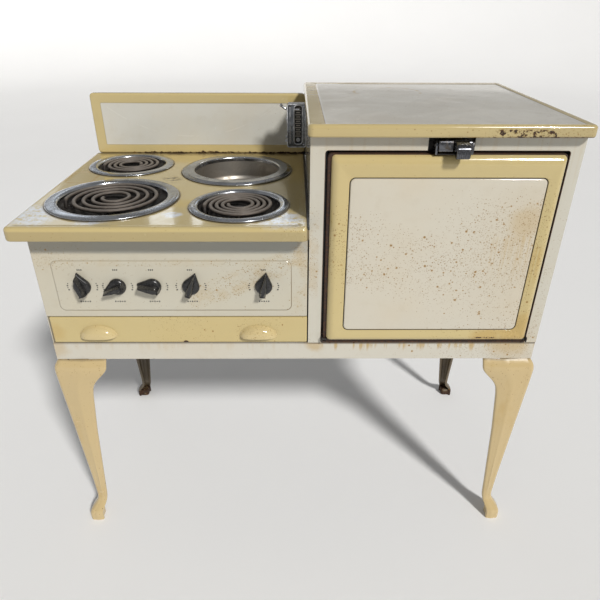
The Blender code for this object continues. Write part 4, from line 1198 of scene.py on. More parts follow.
def make_well():
    low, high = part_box("well_collar")
    centre = ((low.x + high.x) / 2, (low.y + high.y) / 2, COOK_Z)
    outer, inner = (high.x - low.x) / 2, (high.x - low.x) / 2 - 0.035
    collar = [(outer - 0.0006, 0.0004), (outer, 0.0016), (outer - 0.0006, 0.003), (outer - 0.0028, 0.0042),
              (outer - 0.0085, 0.0046), (outer - 0.01, 0.0058), (outer - 0.012, 0.0061),
              (outer - 0.018, 0.0058), (inner + 0.01, 0.006), (inner + 0.0045, 0.0064),
              (inner + 0.0022, 0.006), (inner + 0.0006, 0.0044), (inner, 0.002), (inner, -0.004),
              (inner + 0.0011, -0.004), (inner + 0.0012, 0.0018), (inner + 0.003, 0.0046),
              (outer - 0.013, 0.0044), (outer - 0.009, 0.003), (outer - 0.003, 0.0024),
              (outer - 0.0018, 0.0004)]
    settle(turned("well_ring", collar, centre, 128), "chrome", "range", ["well_collar"], 60)

    deep, wall = -0.205, 0.0014
    path = [(inner + 0.011, 0.0016), (inner + 0.0032, 0.0016), (inner + 0.0022, 0.0002),
            (inner + 0.002, -0.046), (inner + 0.0006, -0.0515), (inner - 0.0022, -0.0545),
            (inner - 0.0036, -0.058), (inner - 0.004, -0.064), (inner - 0.004, -0.094),
            (inner - 0.0022, -0.0965), (inner - 0.0018, -0.0985), (inner - 0.0022, -0.1005),
            (inner - 0.004, -0.103), (inner - 0.0042, deep + 0.02), (inner - 0.0075, deep + 0.01),
            (inner - 0.014, deep + 0.0035), (inner - 0.024, deep + 0.0005), (0.012, deep + wall)]
    back = [(path[0][0], 0.0004), (inner + 0.0034, 0.0004), (inner + 0.0034, -0.05),
            (inner - 0.0026, -0.06), (inner - 0.0026, deep + 0.019), (inner - 0.013, deep + 0.0018),
            (inner - 0.024, deep - 0.0005), (0.012, deep)]
    settle(turned("well_pot", path + back[::-1], centre, 112), "well", "range", ["well_liner"],
           40)

    z = COOK_Z + deep + 0.0014 + 0.0047 + 0.0165
    pieces = [tube("well coil", coil_path(centre, 0.026, 0.088, 3.0, z, pi), sizes().coil_tube, 12)]
    for angle in (90, 210, 330):
        stand = [(0.02, z - 0.005), (0.094, z - 0.005), (0.094, z + 0.004), (0.097, z + 0.004),
                 (0.097, COOK_Z + deep + 0.0022), (0.09, COOK_Z + deep + 0.0022), (0.09, z - 0.01),
                 (0.02, z - 0.01)]
        pieces.append(spoke(f"well arm {angle}", stand, 0.001, (centre[0], centre[1], 0), angle))
    settle(gather("well_heater", pieces), "coil", "range", ["well_coil"], 45)


# ---- control panel, knobs and tray -------------------------------------------------------------------
FIELD = (-0.536, -0.007, 0.695, 0.8175)


def make_panel():
    low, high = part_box("control_panel")
    front = FACE_Y
    plan = (low.x, high.x, low.z, high.z)
    layers = [inset(plan, 0.0004, 0.002, front + 0.01), inset(plan, 0.0, 0.002, front + 0.0025)]
    layers += [inset(plan, by, 0.002, y) for by, y in arc((0.0, front + 0.0025), (0.0025, front), 4, 1)]
    proud = front - low.y
    for out, share in ((0.002, 0.0), (0.0012, 0.1), (0.0004, 0.4), (-0.0003, 0.7), (-0.0011, 0.93),
                       (-0.002, 1.0)):
        layers.append((FIELD[0] - out, FIELD[1] + out, FIELD[2] - out, FIELD[3] + out, 0.012 + out,
                       front - proud * share))
    panel = thick(dish("control_panel_enamel", "XZ", layers, steps=9))
    cutters = []
    for name in KNOBS:
        middle = knob_centre(name)
        cutters.append(turned(f"hole {name}", [(AXIS, -0.03), (0.0055, -0.03), (0.0055, 0.03),
                                               (AXIS, 0.03)], (middle.x, front, middle.z), 24, "Y"))
    combine(panel, cutters)
    settle(panel, "control panel", "range", ["control_panel"], 50)

    marks = []
    face = low.y - 0.00012
    for name in KNOBS:
        middle = knob_centre(name)
        places = [(dx, 0.0405, 0.0026, 0.0034) for dx in (-0.0042, 0.0, 0.0042)]
        places += [(side * (0.0335 - 0.0008 * k * k), -0.001 + k * 0.0052, 0.0034 - 0.001 * (i % 2),
                    0.003 - 0.0008 * (i % 2))
                   for side in (-1, 1) for i, k in enumerate((-1.5, -0.5, 0.5, 1.5))]
        places += [(dx, -0.039, 0.0028, 0.0038 - 0.001 * (i % 2)) for i,
                   dx in enumerate((-0.0104, -0.0052, 0.0, 0.0052, 0.0104))]
        for i, (dx, dz, wide, tall) in enumerate(places):
            x, z = middle.x + dx, middle.z + dz
            if FIELD[0] < x < FIELD[1]:
                marks.append(prism(f"mark {name} {i}", rim(x - wide / 2, x + wide / 2, z - tall / 2,
                                                           z + tall / 2, 0.0005, 2),
                                   "Y", face, face + 0.0004))
    settle(gather("panel_marks", marks), "print", "range")


def knob_centre(name):
    return joint_place(f"{name}_switch_turn")


KNOB_REST = {"left_front": -12.0, "left_rear": -110.0, "right_rear": -78.0, "right_front": 20.0,
             "oven": 10.0}


def make_knobs():
    """Pointer knobs: a dished teardrop skirt, a tall tapering wing, and a flared tail."""
    for name in KNOBS:
        make_knob(name)


def make_knob(name):
    middle = knob_centre(name)
    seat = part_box("control_panel")[0].y - 0.001  # the skirt's rear face

    def teardrop(shrink, depth):
        """Outline of the skirt, shrunk by a margin."""
        radius, tip = 0.0196 - shrink, 0.035 - shrink * 1.6
        lean = asin(min(1.0, radius / tip))
        steps = 30
        points = [(radius * sin(a), radius * cos(a)) for a in
                  [pi / 2 - lean + (2 * pi - (pi - 2 * lean)) * i / steps for i in range(steps + 1)]]
        blunt = 0.0016
        points += [(-blunt, tip - blunt), (-blunt * 0.6, tip - blunt * 0.3), (0.0, tip),
                   (blunt * 0.6, tip - blunt * 0.3), (blunt, tip - blunt)]
        return [(a, -depth, b) for a, b in points]

    skirt = skin(f"skirt {name}", [teardrop(0.0, 0.0), teardrop(0.0, 0.0034), teardrop(0.0007, 0.0054),
                                   teardrop(0.0021, 0.0072),
                                   teardrop(0.0044, 0.0086), teardrop(0.007, 0.0095),
                                   teardrop(0.0092, 0.0098)], first=True, last=True)

    def wing(share, depth):
        """Section of the grip: it narrows and shortens as it stands out of the skirt."""
        top, tail = 0.0308 - 0.004 * share, -0.0188 + 0.0035 * share
        half, waist, flare = 0.0074 - 0.0034 * share, 0.0052 - 0.0024 * share, 0.0078 - 0.003 * share
        side = [(0.0008, top), (waist * 0.6, top - 0.007), (half * 0.84, 0.0095), (half, 0.0012),
                (half * 0.92, -0.006), (waist, -0.0112), (flare * 0.95, -0.0154), (flare, tail + 0.0007),
                (flare * 0.55, tail), (0.0, tail + 0.0004)]
        smooth = [Vector((a, b, 0)) for a, b in side]
        smooth = smooth_path(smooth, 3)
        right = [(p.x, p.y) for p in smooth]
        left = [(-a, b) for a, b in right[-2::-1]]
        return [(a, -depth, b) for a, b in right + left]

    grip = skin(f"grip {name}", [wing(0.0, 0.007), wing(0.04, 0.012), wing(0.2, 0.0178), wing(0.42, 0.023),
                                 wing(0.62, 0.0262),
                                 wing(0.84, 0.028), wing(1.05, 0.0286)], first=True, last=True)
    shaft = turned(f"shaft {name}", [(AXIS, -0.002), (0.003, -0.002), (0.003, 0.019), (AXIS, 0.019)],
                   (0, 0, 0), 20, "Y")
    knob = combine(skirt, [grip, shaft], "UNION")
    place = Matrix.Translation((middle.x, seat, middle.z)) @ Matrix.Rotation(radians(KNOB_REST[name]), 4,
                                                                             "Y")
    knob.data.transform(place)
    knob.name = f"pointer_knob_{name}"
    settle(knob, "black", f"{name}_knob", [f"knob_{name}"], 44)


def make_tray():
    low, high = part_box("tray_front")
    plan = (low.x, high.x, low.z, high.z)
    front = low.y
    layers = [inset(plan, 0.0, 0.003, high.y), inset(plan, 0.0, 0.003, front + 0.0035)]
    layers += [inset(plan, by, 0.003, y) for by, y in arc((0.0, front + 0.0035), (0.0035, front), 5, 1)]
    layers.append(inset(plan, 0.006, 0.003, front - 0.0002))
    settle(thick(dish("tray_front_enamel", "XZ", layers)), "tray", "tray", ["tray_front"],
           50)
    for side in ("left", "right"):
        make_pull(side, front)
    keep("tray_pan", "zinc", 0.0004)
    keep("tray_runner_left", "zinc", 0.0004)
    keep("tray_runner_right", "zinc", 0.0004)


def make_pull(side, wall):
    """A half-moon cup pull with a thin flange, open underneath."""
    low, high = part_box(f"tray_pull_{side}")
    centre, half, tall, deep = (low.x + high.x) / 2, (high.x - low.x) / 2, high.z - low.z, high.y - low.y
    loops = []
    sweep = 36
    profile = [(1.0, 0.0), (0.992, 0.05), (0.975, 0.075), (0.962, 0.12), (0.945, 0.22), (0.915, 0.36),
               (0.865, 0.53), (0.79, 0.69), (0.69, 0.82), (0.56, 0.92), (0.42, 0.975), (0.26, 0.995),
               (0.1, 1.0)]
    for reach, out in profile:
        loop = []
        for i in range(sweep + 1):
            angle = pi * i / sweep
            a, b = cos(angle), sin(angle)
            loop.append((centre + half * reach * a, wall - 0.0009 - (deep - 0.0008) * out,
                         low.z + tall * reach * b))
        loops.append(loop)
    cup = skin(f"cup_pull_{side}", loops, closed=False, last=True)
    if sum(p.normal.y * p.area for p in cup.data.polygons) > 0:
        cup.data.flip_normals()
    thick(cup, 0.0016)
    settle(cup, "pull", "tray", [f"tray_pull_{side}"], 55)


# ---- base and legs -----------------------------------------------------------------------------------
LEG_TOP = 0.5566
LEG_OUTER = ((0.004, LEG_TOP), (-0.009, 0.5466), (-0.012, 0.531), (-0.01, 0.48), (-0.003, 0.33),
             (0.008, 0.075), (0.007, 0.058), (-0.002, 0.044), (-0.013, 0.034), (-0.016, 0.026),
             (-0.016, 0.0))
LEG_INNER = ((0.022, 0.0), (0.022, 0.03), (0.03, 0.046), (0.034, 0.06), (0.036, 0.08), (0.056, 0.33),
             (0.07, 0.455), (0.074, 0.475), (0.084, 0.492), (0.117, 0.527), (0.117, LEG_TOP))


def leg_edge(points, levels):
    """The edge's distance in from the corner at each level, smoothed along its length."""
    fine = np.linspace(-0.03, 0.6, 631)
    ordered = sorted(points, key=lambda p: p[1])
    raw = np.interp(fine, [p[1] for p in ordered], [p[0] for p in ordered])
    kernel = np.exp(-0.5 * (np.arange(-24, 25) / 7.0) ** 2)
    soft = np.convolve(np.pad(raw, 24, mode="edge"), kernel / kernel.sum(), mode="valid")
    return np.interp(levels, fine, soft)


def make_legs():
    for end, side_y in (("front", -1), ("rear", 1)):
        for side, side_x in (("left", -1), ("right", 1)):
            make_leg(f"{end}_{side}", side_x, side_y)


def make_leg(name, side_x, side_y):
    """A pressed corner leg: crowned faces with a faint rib, a soft corner and rolled free edges."""
    base_low, base_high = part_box("base_frame")
    corner = (base_high.x if side_x > 0 else base_low.x, base_high.y if side_y > 0 else base_low.y)
    levels = np.concatenate([np.linspace(0.0, 0.09, 22), np.linspace(0.1, 0.47, 20),
                             np.linspace(0.478, LEG_TOP, 20)])
    outer, inner = leg_edge(LEG_OUTER, levels), leg_edge(LEG_INNER, levels)
    loops = []
    for z, out, far in zip(levels, outer, inner):
        width = far - out
        round_off = min(0.011, width * 0.3)
        face = [(far - 0.0006, out + 0.0085), (far, out + 0.005), (far - 0.001, out + 0.0018),
                (far - 0.0032, out + 0.0002)]
        steps = 12
        for i in range(1, steps):
            share = i / steps
            a = (far - 0.0032) + (out + round_off - far + 0.0032) * share
            crown = 0.003 * min(1.0, width / 0.06) * 4 * share * (1 - share)
            rib = 0.0013 * np.exp(-((share - 0.5) / 0.06) ** 2) * min(1.0, max(0.0, (z - 0.06) / 0.05))
            face.append((a, out - crown - rib + 0.001))
        bend = [(out + round_off - round_off * sin(radians(t)), out + round_off - round_off
                 * cos(radians(t)))
                for t in range(0, 91, 15)]
        half = face + bend[:4]
        section = half + [(b, a) for a, b in half[-2::-1]]
        loops.append([(corner[0] - side_x * a, corner[1] - side_y * b, z) for a, b in section])
    leg = skin(f"leg {name}", loops, closed=False)
    centre = Vector((corner[0] - side_x * 0.12, corner[1] - side_y * 0.12, 0.3))
    facing = sum(p.normal.dot(centre - p.center) * p.area for p in leg.data.polygons)
    if facing > 0:
        leg.data.flip_normals()
    thick(leg, sizes().leg_wall)
    flat = rim(-0.0135, 0.0195, -0.0135, 0.0195, 0.008, 5)
    flat = [(corner[0] - side_x * a, corner[1] - side_y * b) for a, b in flat]
    pad = rounded(prism(f"pad {name}", flat, "Z", 0.0, 0.024), 0.003, 3)
    plate = rounded(prism(f"plate {name}", [(corner[0] - side_x * a, corner[1] - side_y * b) for a, b in
                                            rim(0.004, 0.074, 0.004, 0.074, 0.004, 3)], "Z",
                          LEG_TOP - 0.005, LEG_TOP), 0.0006, 2)
    settle(gather(f"corner_leg_{name}", [leg, pad, plate]), "leg", "range", [f"leg_{name}"],
           50)


def make_base():
    keep("base_frame", "base", 0.0016)
    keep("floor_pan", "zinc", 0.0004)
    low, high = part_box("base_frame")
    height = 0.58
    screws("base_screws", {
        "base screw rear": [((x, high.y, height), "Y") for x in (-0.5, 0.5)],
        "base screw side": [((x, y, height), way) for x, way in ((high.x, "X"), (low.x, "-X"))
                            for y in (-0.19, 0.21)]})


def make_case():
    """The plain outer panels stay as packed."""
    for node in ("left_side_panel", "rear_panel", "oven_left_panel", "oven_right_panel", "oven_rear_panel",
                 "oven_front_frame"):
        keep(node, "panel", 0.0005)
    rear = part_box("rear_panel")[1].y
    rows = [(x, z) for x in (-0.56, -0.42, -0.12, 0.015) for z in (0.62, 0.885)]
    rows += [(-0.56, 0.75), (0.015, 0.75)]
    rows += [(x, z) for x in (0.05, 0.3, 0.56) for z in (0.62, 0.86, 1.085)]
    left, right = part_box("left_side_panel")[0].x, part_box("oven_right_panel")[1].x
    near_edges = (-0.262, 0.282)
    screws("case_screws", {
        "rear screw": [((x, rear, z), "Y") for x, z in rows],
        "left screw": [((left, y, z), "-X") for y in near_edges for z in (0.62, 0.86)],
        "right screw": [((right, y, z), "X") for y in near_edges for z in (0.62, 0.86, 1.07)]})
    slots = []
    for i in range(9):
        z = 0.985 + i * 0.008
        slots.append(rounded(block(f"louvre {i}", (0.2, rear - 0.0006, z),
                                   (0.41, rear + 0.0026, z + 0.0032)), 0.0009, 2))
    settle(gather("oven_rear_louvres", slots), "panel", "range")
    keep("terminal_box", "zinc", 0.0006)
    low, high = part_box("terminal_box")
    bush = turned("cable_bush", [(0.0075, -0.006), (0.0098, -0.006), (0.0098, -0.002), (0.0135, -0.002),
                                 (0.0135, -0.0004), (0.0098, 0.002), (0.0098, 0.006), (0.0075, 0.006)],
                  ((low.x + high.x) / 2, (rear + high.y) / 2 + 0.001, low.z), 32)
    settle(bush, "black", "range")
    screws("cover_screws", {"cover screw": [((x, high.y, z), "Y") for z in (low.z + 0.012, high.z - 0.012)
                                            for x in (low.x + 0.012, high.x - 0.012)]})
    for name in KNOBS:
        keep(f"switch_{name}", "black", 0.001)


# ---- oven --------------------------------------------------------------------------------------------
def make_oven_inside():
    keep("oven_liner", "speckled", 0.0006)
    keep("oven_insulation", "wool", 0.003)
    low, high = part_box("oven_rack")
    z = (low.z + high.z) / 2
    left, right, front, back = low.x + 0.003, high.x - 0.003, low.y + 0.003, high.y - 0.003
    outline = [(x, y, z) for x, y in rim(left, right, front, back, 0.018, 8)]
    wires = [tube("rack frame", outline, 0.003, 12, closed=True)]
    count = 15
    for i in range(1, count):
        x = left + (right - left) * i / count
        wires.append(tube(f"rack wire {i}", [(x, front, z + 0.0018), (x, (front + back) / 2, z + 0.0018),
                                             (x, back, z + 0.0018)], 0.0018, 8))
    for i, y in enumerate((front + 0.11, back - 0.11)):
        wires.append(tube(f"rack cross {i}", [(left, y, z - 0.0012), (0.3, y, z - 0.0012),
                                              (right, y, z - 0.0012)], 0.0022, 8))
    settle(gather("wire_rack", wires), "zinc", "range", ["oven_rack"], 45)
    for name in ("bake", "broil"):
        make_element(name)


def make_element(name):
    """A long element bent to and fro, with its brackets and the insulators at its tails."""
    low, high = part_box(f"{name}_element")
    z = (low.z + high.z) / 2
    rows = 6
    left, right = low.x + 0.0035, high.x - 0.0035
    pitch = (right - left) / (rows - 1)
    front, back = low.y + 0.0035 + pitch / 2, high.y - 0.0035 - pitch / 2
    points = []
    for row in range(rows):
        x = left + pitch * row
        ends = (back, front) if row % 2 == 0 else (front, back)
        points += [(x, ends[0] + (ends[1] - ends[0]) * k / 6, z) for k in range(7)]
        if row < rows - 1:
            outward = -1 if ends[1] == front else 1
            for step in range(1, 10):
                angle = pi * step / 10
                points.append((x + pitch / 2 - pitch / 2 * cos(angle), ends[1] + outward * pitch / 2
                               * sin(angle), z))
    pieces = [tube(f"{name} bar", points, 0.0035, 12)]
    for i, y in enumerate((front + 0.06, back - 0.06)):
        pieces.append(rounded(block(f"{name} strap {i}", (left - 0.006, y - 0.005, z - 0.0052),
                                    (right + 0.006, y + 0.005, z - 0.0037)), 0.0004, 2))
    settle(gather(f"{name}_bar", pieces), "coil", "range", [f"{name}_element"], 45)


# ---- door and latch ----------------------------------------------------------------------------------
def make_door():
    low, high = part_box("door_frame")
    panel_low, panel_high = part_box("door_panel")
    plan = (low.x, high.x, low.z, high.z)
    hole = (panel_low.x - 0.0014, panel_high.x + 0.0014, panel_low.z - 0.0014, panel_high.z + 0.0014)
    front, back = low.y, high.y
    margin = (hole[0] - low.x, high.x - hole[1], hole[2] - low.z, high.z - hole[3])

    def between(share, radius, y):
        return inset(plan, tuple(r + (m - r) * share for r, m in zip(RIM, margin)), radius, y)

    layers = [inset(plan, 0.0, 0.008, back), inset(plan, 0.0, 0.008, front + 0.015),
              inset(plan, 0.001, 0.008, front + 0.0136),
              between(-0.02, 0.0095, front + 0.0132), between(0.0, 0.0095, front + 0.0122)]
    for share, y, radius in ((0.01, 0.01, 0.0092), (0.035, 0.0076, 0.0085), (0.08, 0.0052, 0.0075),
                             (0.15, 0.003, 0.006),
                             (0.23, 0.0013, 0.0045), (0.31, 0.0003, 0.0034), (0.38, 0.0, 0.003),
                             (0.46, 0.0001, 0.003),
                             (0.58, 0.0006, 0.0034), (0.7, 0.0012, 0.0044), (0.82, 0.0018, 0.0064),
                             (0.91, 0.0022, 0.0086), (0.965, 0.0025, 0.0104), (0.988, 0.0028, 0.0114)):
        layers.append(between(share, radius, front + y))
    layers += [inset(plan, margin, 0.012, front + 0.004), inset(plan, margin, 0.012, front + 0.009)]
    border = thick(dish("door_border", "XZ", layers, cap=False, steps=8), 0.0016)
    settle(border, "door border", "oven_door", ["door_frame"], 60)

    box = (panel_low.x, panel_high.x, panel_low.z, panel_high.z)
    face = front + 0.0014
    layers = [inset(box, 0.0, 0.011, face + 0.0056)]
    layers += [inset(box, by, 0.011 - by * 0.4, y) for by,
               y in [(0.0, face + 0.003), *arc((0.0, face + 0.003), (0.0034, face), 6, 1)]]
    layers.append(inset(box, 0.02, 0.01, face - 0.0008))
    layers.append(inset(box, 0.06, 0.01, face - 0.0012))
    centre = thick(dish("door_centre", "XZ", layers, steps=8), 0.0014)
    settle(centre, "door panel", "oven_door", ["door_panel"], 60)
    keep("door_liner", "speckled", 0.0008)
    keep("door_hinge_left", "burnt", 0.0003)
    keep("door_hinge_right", "burnt", 0.0003)
    liner_low, liner_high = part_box("door_liner")
    across = liner_high.x - liner_low.x - 0.1
    screws("door_liner_screws", {
        f"liner screw {i}": [((liner_low.x + 0.05 + across * i / 3, liner_high.y, z), "Y")
                             for z in (liner_low.z + 0.018, liner_high.z - 0.018)] for i in range(4)},
           "oven_door")


def make_latch():
    low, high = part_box("latch_bracket")
    pin = joint_place("latch_lift")
    lug = 0.0048
    plate = rounded(block("latch_base_plate", (low.x + 0.0002, low.y + 0.0012, low.z),
                          (high.x - 0.0002, high.y, low.z + 0.0024)), 0.0008, 2)
    settle(plate, "burnt", "oven_door")
    parts = []
    cheek = [(high.y, low.z), (high.y, pin.z + 0.002), (high.y - 0.004, pin.z + 0.0058),
             (pin.y + 0.001, pin.z + 0.0074), (pin.y - 0.0045, pin.z + 0.0056), (pin.y - 0.0066, pin.z),
             (low.y, low.z + 0.003), (low.y, low.z)]
    for i, x in enumerate((low.x, high.x - lug)):
        parts.append(rounded(prism(f"cheek {i}", cheek, "X", x, x + lug), 0.0014, 3, 20))
    for i, x in enumerate((low.x - 0.0004, high.x + 0.0004)):
        way = -1 if i == 0 else 1
        parts.append(turned(f"pin head {i}", [(AXIS, 0.0), (0.0034, 0.0), (0.0034, way * 0.0004),
                                              (0.0024, way * 0.001),
                                              (AXIS, way * 0.0012)], (x - way * 0.0004, pin.y, pin.z), 20,
                            "X"))
    settle(gather("latch_housing", parts), "latch", "oven_door", ["latch_bracket"], 40)

    lever_low, lever_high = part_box("latch_lever")
    left, right = lever_low.x, lever_high.x
    barrel = turned("latch barrel", [(0.0028, left - pin.x), (0.006, left - pin.x),
                                     (0.0072, left - pin.x + 0.0014),
                                     (0.0072, right - pin.x - 0.0014), (0.006, right - pin.x),
                                     (0.0028, right - pin.x)], pin, 40, "X")
    y, z = pin.y, pin.z
    grip = [(y + 0.001, z + 0.0112), (y - 0.012, z + 0.0112), (y - 0.022, z + 0.0094),
            (y - 0.031, z + 0.0058), (y - 0.0358, z + 0.0008), (y - 0.0372, z - 0.006),
            (y - 0.037, z - 0.015), (y - 0.035, z - 0.0192), (y - 0.03, z - 0.0205),
            (y - 0.0245, z - 0.0196), (y - 0.0205, z - 0.016), (y - 0.0165, z - 0.011),
            (y - 0.008, z - 0.01), (y + 0.001, z - 0.007)]
    handle = rounded(prism("latch handle", grip, "X", pin.x - 0.0035, pin.x + 0.024), 0.0024, 3, 20)
    body = [(y + 0.004, z + 0.0085), (y + 0.001, z + 0.0108), (y - 0.008, z + 0.0112),
            (y - 0.0115, z + 0.0092), (y - 0.0128, z + 0.003), (y - 0.0128, z - 0.0075),
            (y - 0.0112, z - 0.0108), (y - 0.006, z - 0.0115), (y + 0.001, z - 0.0085),
            (y + 0.004, z - 0.004)]
    shoulder = rounded(prism("latch shoulder", body, "X", left + 0.0004, pin.x - 0.0045), 0.0022, 3, 20)
    wing = [(a if a > y - 0.005 else a + 0.0035, b * 0.86 + z * 0.14) for a, b in body]
    right_wing = rounded(prism("latch wing", wing, "X", pin.x + 0.0225, right - 0.0004), 0.0022, 3, 20)
    tongue = rounded(prism("latch tongue", [(y + 0.004, z - 0.0018), (y + 0.028, z - 0.0018), (y + 0.03, z),
                                            (y + 0.028, z + 0.0018),
                                            (y + 0.004, z + 0.0018)], "X", pin.x - 0.015, pin.x + 0.015),
                     0.0006, 2)
    lever = combine(barrel, [handle, shoulder, right_wing, tongue], "UNION")
    grooves = [block(f"grip groove {i}", (pin.x + 0.0005 + i * 0.0042, y - 0.039, z - 0.0165),
                     (pin.x + 0.0018 + i * 0.0042, y - 0.0363, z - 0.0012)) for i in range(6)]
    grooves += [block(f"hood line {i}", (left - 0.002, y - 0.014, z - 0.0002 + i * 0.005),
                      (pin.x - 0.0045, y - 0.0123, z + 0.0006 + i * 0.005)) for i in (-1, 1)]
    combine(lever, grooves)
    lever.name = "latch_handle"
    settle(lever, "latch", "latch", ["latch_lever"], 40)
    keep("latch_strike", "burnt", 0.0005)


# ---- heat control ------------------------------------------------------------------------------------
def make_heat_control():
    """The control on the oven's left wall: a plated case, a ladder of steps in a slot, and the lever."""
    low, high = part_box("heat_control_case")
    left, right, front, back = low.x, high.x, low.y, high.y
    outer = rim(left, right, low.z, high.z, 0.006, 6)
    case = rounded(prism("control case", outer, "Y", front, back), 0.0016, 3, 30)
    middle = (left + right) / 2 + 0.0046
    base, crest = low.z + 0.0092, high.z - 0.0034

    def slot(by, radius):
        return rim(middle - 0.0112 + by, middle + 0.0112 - by, base + by, crest - by, radius - by, 8)

    recess = prism("control recess", slot(0.0, 0.008), "Y", front - 0.01, front + 0.01)
    slit = block("control slit", (left - 0.01, front + 0.004, low.z + 0.02),
                 (middle, front + 0.009, high.z - 0.01))
    groove = prism("control groove", rim(left + 0.0048, left + 0.0066, low.z + 0.008, high.z - 0.008,
                                         0.0008, 3), "Y", front - 0.01, front + 0.0016)
    combine(case, [recess, slit, groove])
    case.name = "control_case"
    settle(case, "dark plate", "range", ["heat_control_case"], 40)

    # The white beads round the slot and the case, and the two stripes, stand in for the highlights on the
    # plated edges: painted highlight.
    beads = [tube("slot bead", [(x, front - 0.0004, z) for x, z in slot(0.0, 0.008)], 0.0012, 8,
                  closed=True), tube("case bead", [(x, front + 0.0003, z) for x, z in
                                rim(left + 0.0012, right - 0.0012, low.z + 0.0012, high.z - 0.0012, 0.0052,
                                    6)], 0.0012, 8, closed=True)]
    for x in (left + 0.0085, right - 0.0055):
        beads.append(tube(f"stripe {x:.3f}",
                          [(x, front - 0.0001, low.z + 0.01 + i * (high.z - low.z - 0.018) / 6)
                                              for i in range(7)], 0.0008, 8))
    beads.append(turned("scale stop", [(AXIS, 0.0), (0.0054, 0.0), (0.0062, 0.0012), (0.0058, 0.0042),
                                       (0.004, 0.0056), (AXIS, 0.0058)],
                        (middle, front + 0.0092, base + 0.0098), 28, "Y"))
    settle(gather("control_beads", beads), "bright bead", "range")
    plate = prism("control_scale", slot(0.0007, 0.008), "Y", front + 0.0094, front + 0.0104)
    steps = []
    for i in range(14):
        z = base + 0.0185 + i * 0.0056
        if z > crest - 0.01:
            break
        wide = 0.0078 if i % 2 == 0 else 0.0054
        steps.append(rounded(block(f"step {i}", (middle - wide, front + 0.0084, z),
                                   (middle + wide, front + 0.0097, z + 0.0022)), 0.0005, 2))
    settle(plate, "plate", "range")
    settle(gather("control_ladder", steps), "well", "range")
    lugs = []
    for z, out in ((low.z + 0.0165, 0.0062), (low.z + 0.027, 0.0042), (high.z - 0.04, 0.0026)):
        lugs.append(turned(f"side lug {z:.3f}", [(AXIS, 0.0), (0.0034, 0.0), (0.0042, -out * 0.4),
                                                 (0.0038, -out * 0.9), (AXIS, -out)],
                           (left + 0.0006, front + 0.0055, z), 24, "X"))
    settle(gather("control_lugs", lugs), "bright bead", "range")

    lever_low, lever_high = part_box("heat_control_lever")
    z = (lever_low.z + lever_high.z) / 2
    window = front + 0.0065
    rod_z = high.z - 0.0145
    rod = rounded(block("control rod", (left - 0.004, window - 0.0015, rod_z - 0.002),
                        (middle + 0.004, window + 0.0015, rod_z + 0.002)), 0.0006, 2)
    handle = [(left + 0.0, rod_z + 0.0005, -0.002), (left - 0.006, rod_z + 0.003, -0.0008),
              (left - 0.0115, rod_z + 0.007, 0.0), (left - 0.016, rod_z + 0.0112, 0.0)]
    points = smooth_path([(x, window, zz) for x, zz, _ in handle], 6)
    arm = tube("control arm", points, 0.003, 10, flat=1.0)
    tip = turned("control tip", [(AXIS, -0.004), (0.003, -0.0036), (0.0042, -0.0015), (0.0042, 0.0015),
                                 (0.003, 0.0036), (AXIS, 0.004)],
                 (left - 0.015, window, rod_z + 0.0105), 20, "Y")
    settle(gather("control_lever", [rod, arm, tip]), "chrome", "heat_lever",
           ["heat_control_lever"], 45)
    heads = [screw_head(f"control screw {i}", (right - 0.0055, front, zz), "-Y", 0.0028) for i, zz in
             enumerate((low.z + 0.0075, high.z - 0.0065))]
    settle(gather("control_screws", heads), "chrome", "range")


# ---- stage -------------------------------------------------------------------------------------------
def area_light(name, place, aim, power, wide, tall, colour=(1, 1, 1)):
    light = bpy.data.lights.new(name, "AREA")
    light.shape = "RECTANGLE"
    light.size, light.size_y = wide, tall
    light.energy = power
    light.color = colour
    obj = bpy.data.objects.new(name, light)
    obj.location = place
    obj.rotation_euler = (Vector(aim) - Vector(place)).to_track_quat("-Z", "Y").to_euler()
    obj.visible_camera = False
    bpy.context.scene.collection.objects.link(obj)
    return obj


WINDOWS = (  # name, left, right, low, top, brightness
    ("left window", -2.75, -1.75, 2.02, 2.5, 1.1), ("pane", -1.22, -1.02, 2.02, 2.3, 2.2),
    ("slit", -0.86, -0.78, 1.98, 2.4, 2.0), ("right window", -0.42, 0.34, 2.02, 2.42, 1.6))
WINDOW_Y = 3.0
SUN_WAY = (-0.42, 0.7, -0.66)
FLOOR_REACH, FLOOR_TURN = 9.0, 4.0  # the floor lies flat this far, then turns up with this radius
VIEW_PLACE = (0.0027, -1.38, 1.3252)
VIEW_PITCH, VIEW_YAW, VIEW_ROLL = 29.63, 0.596, 0.2445  # degrees
VIEW_LENS, VIEW_SHIFT = 32.85, 0.0139


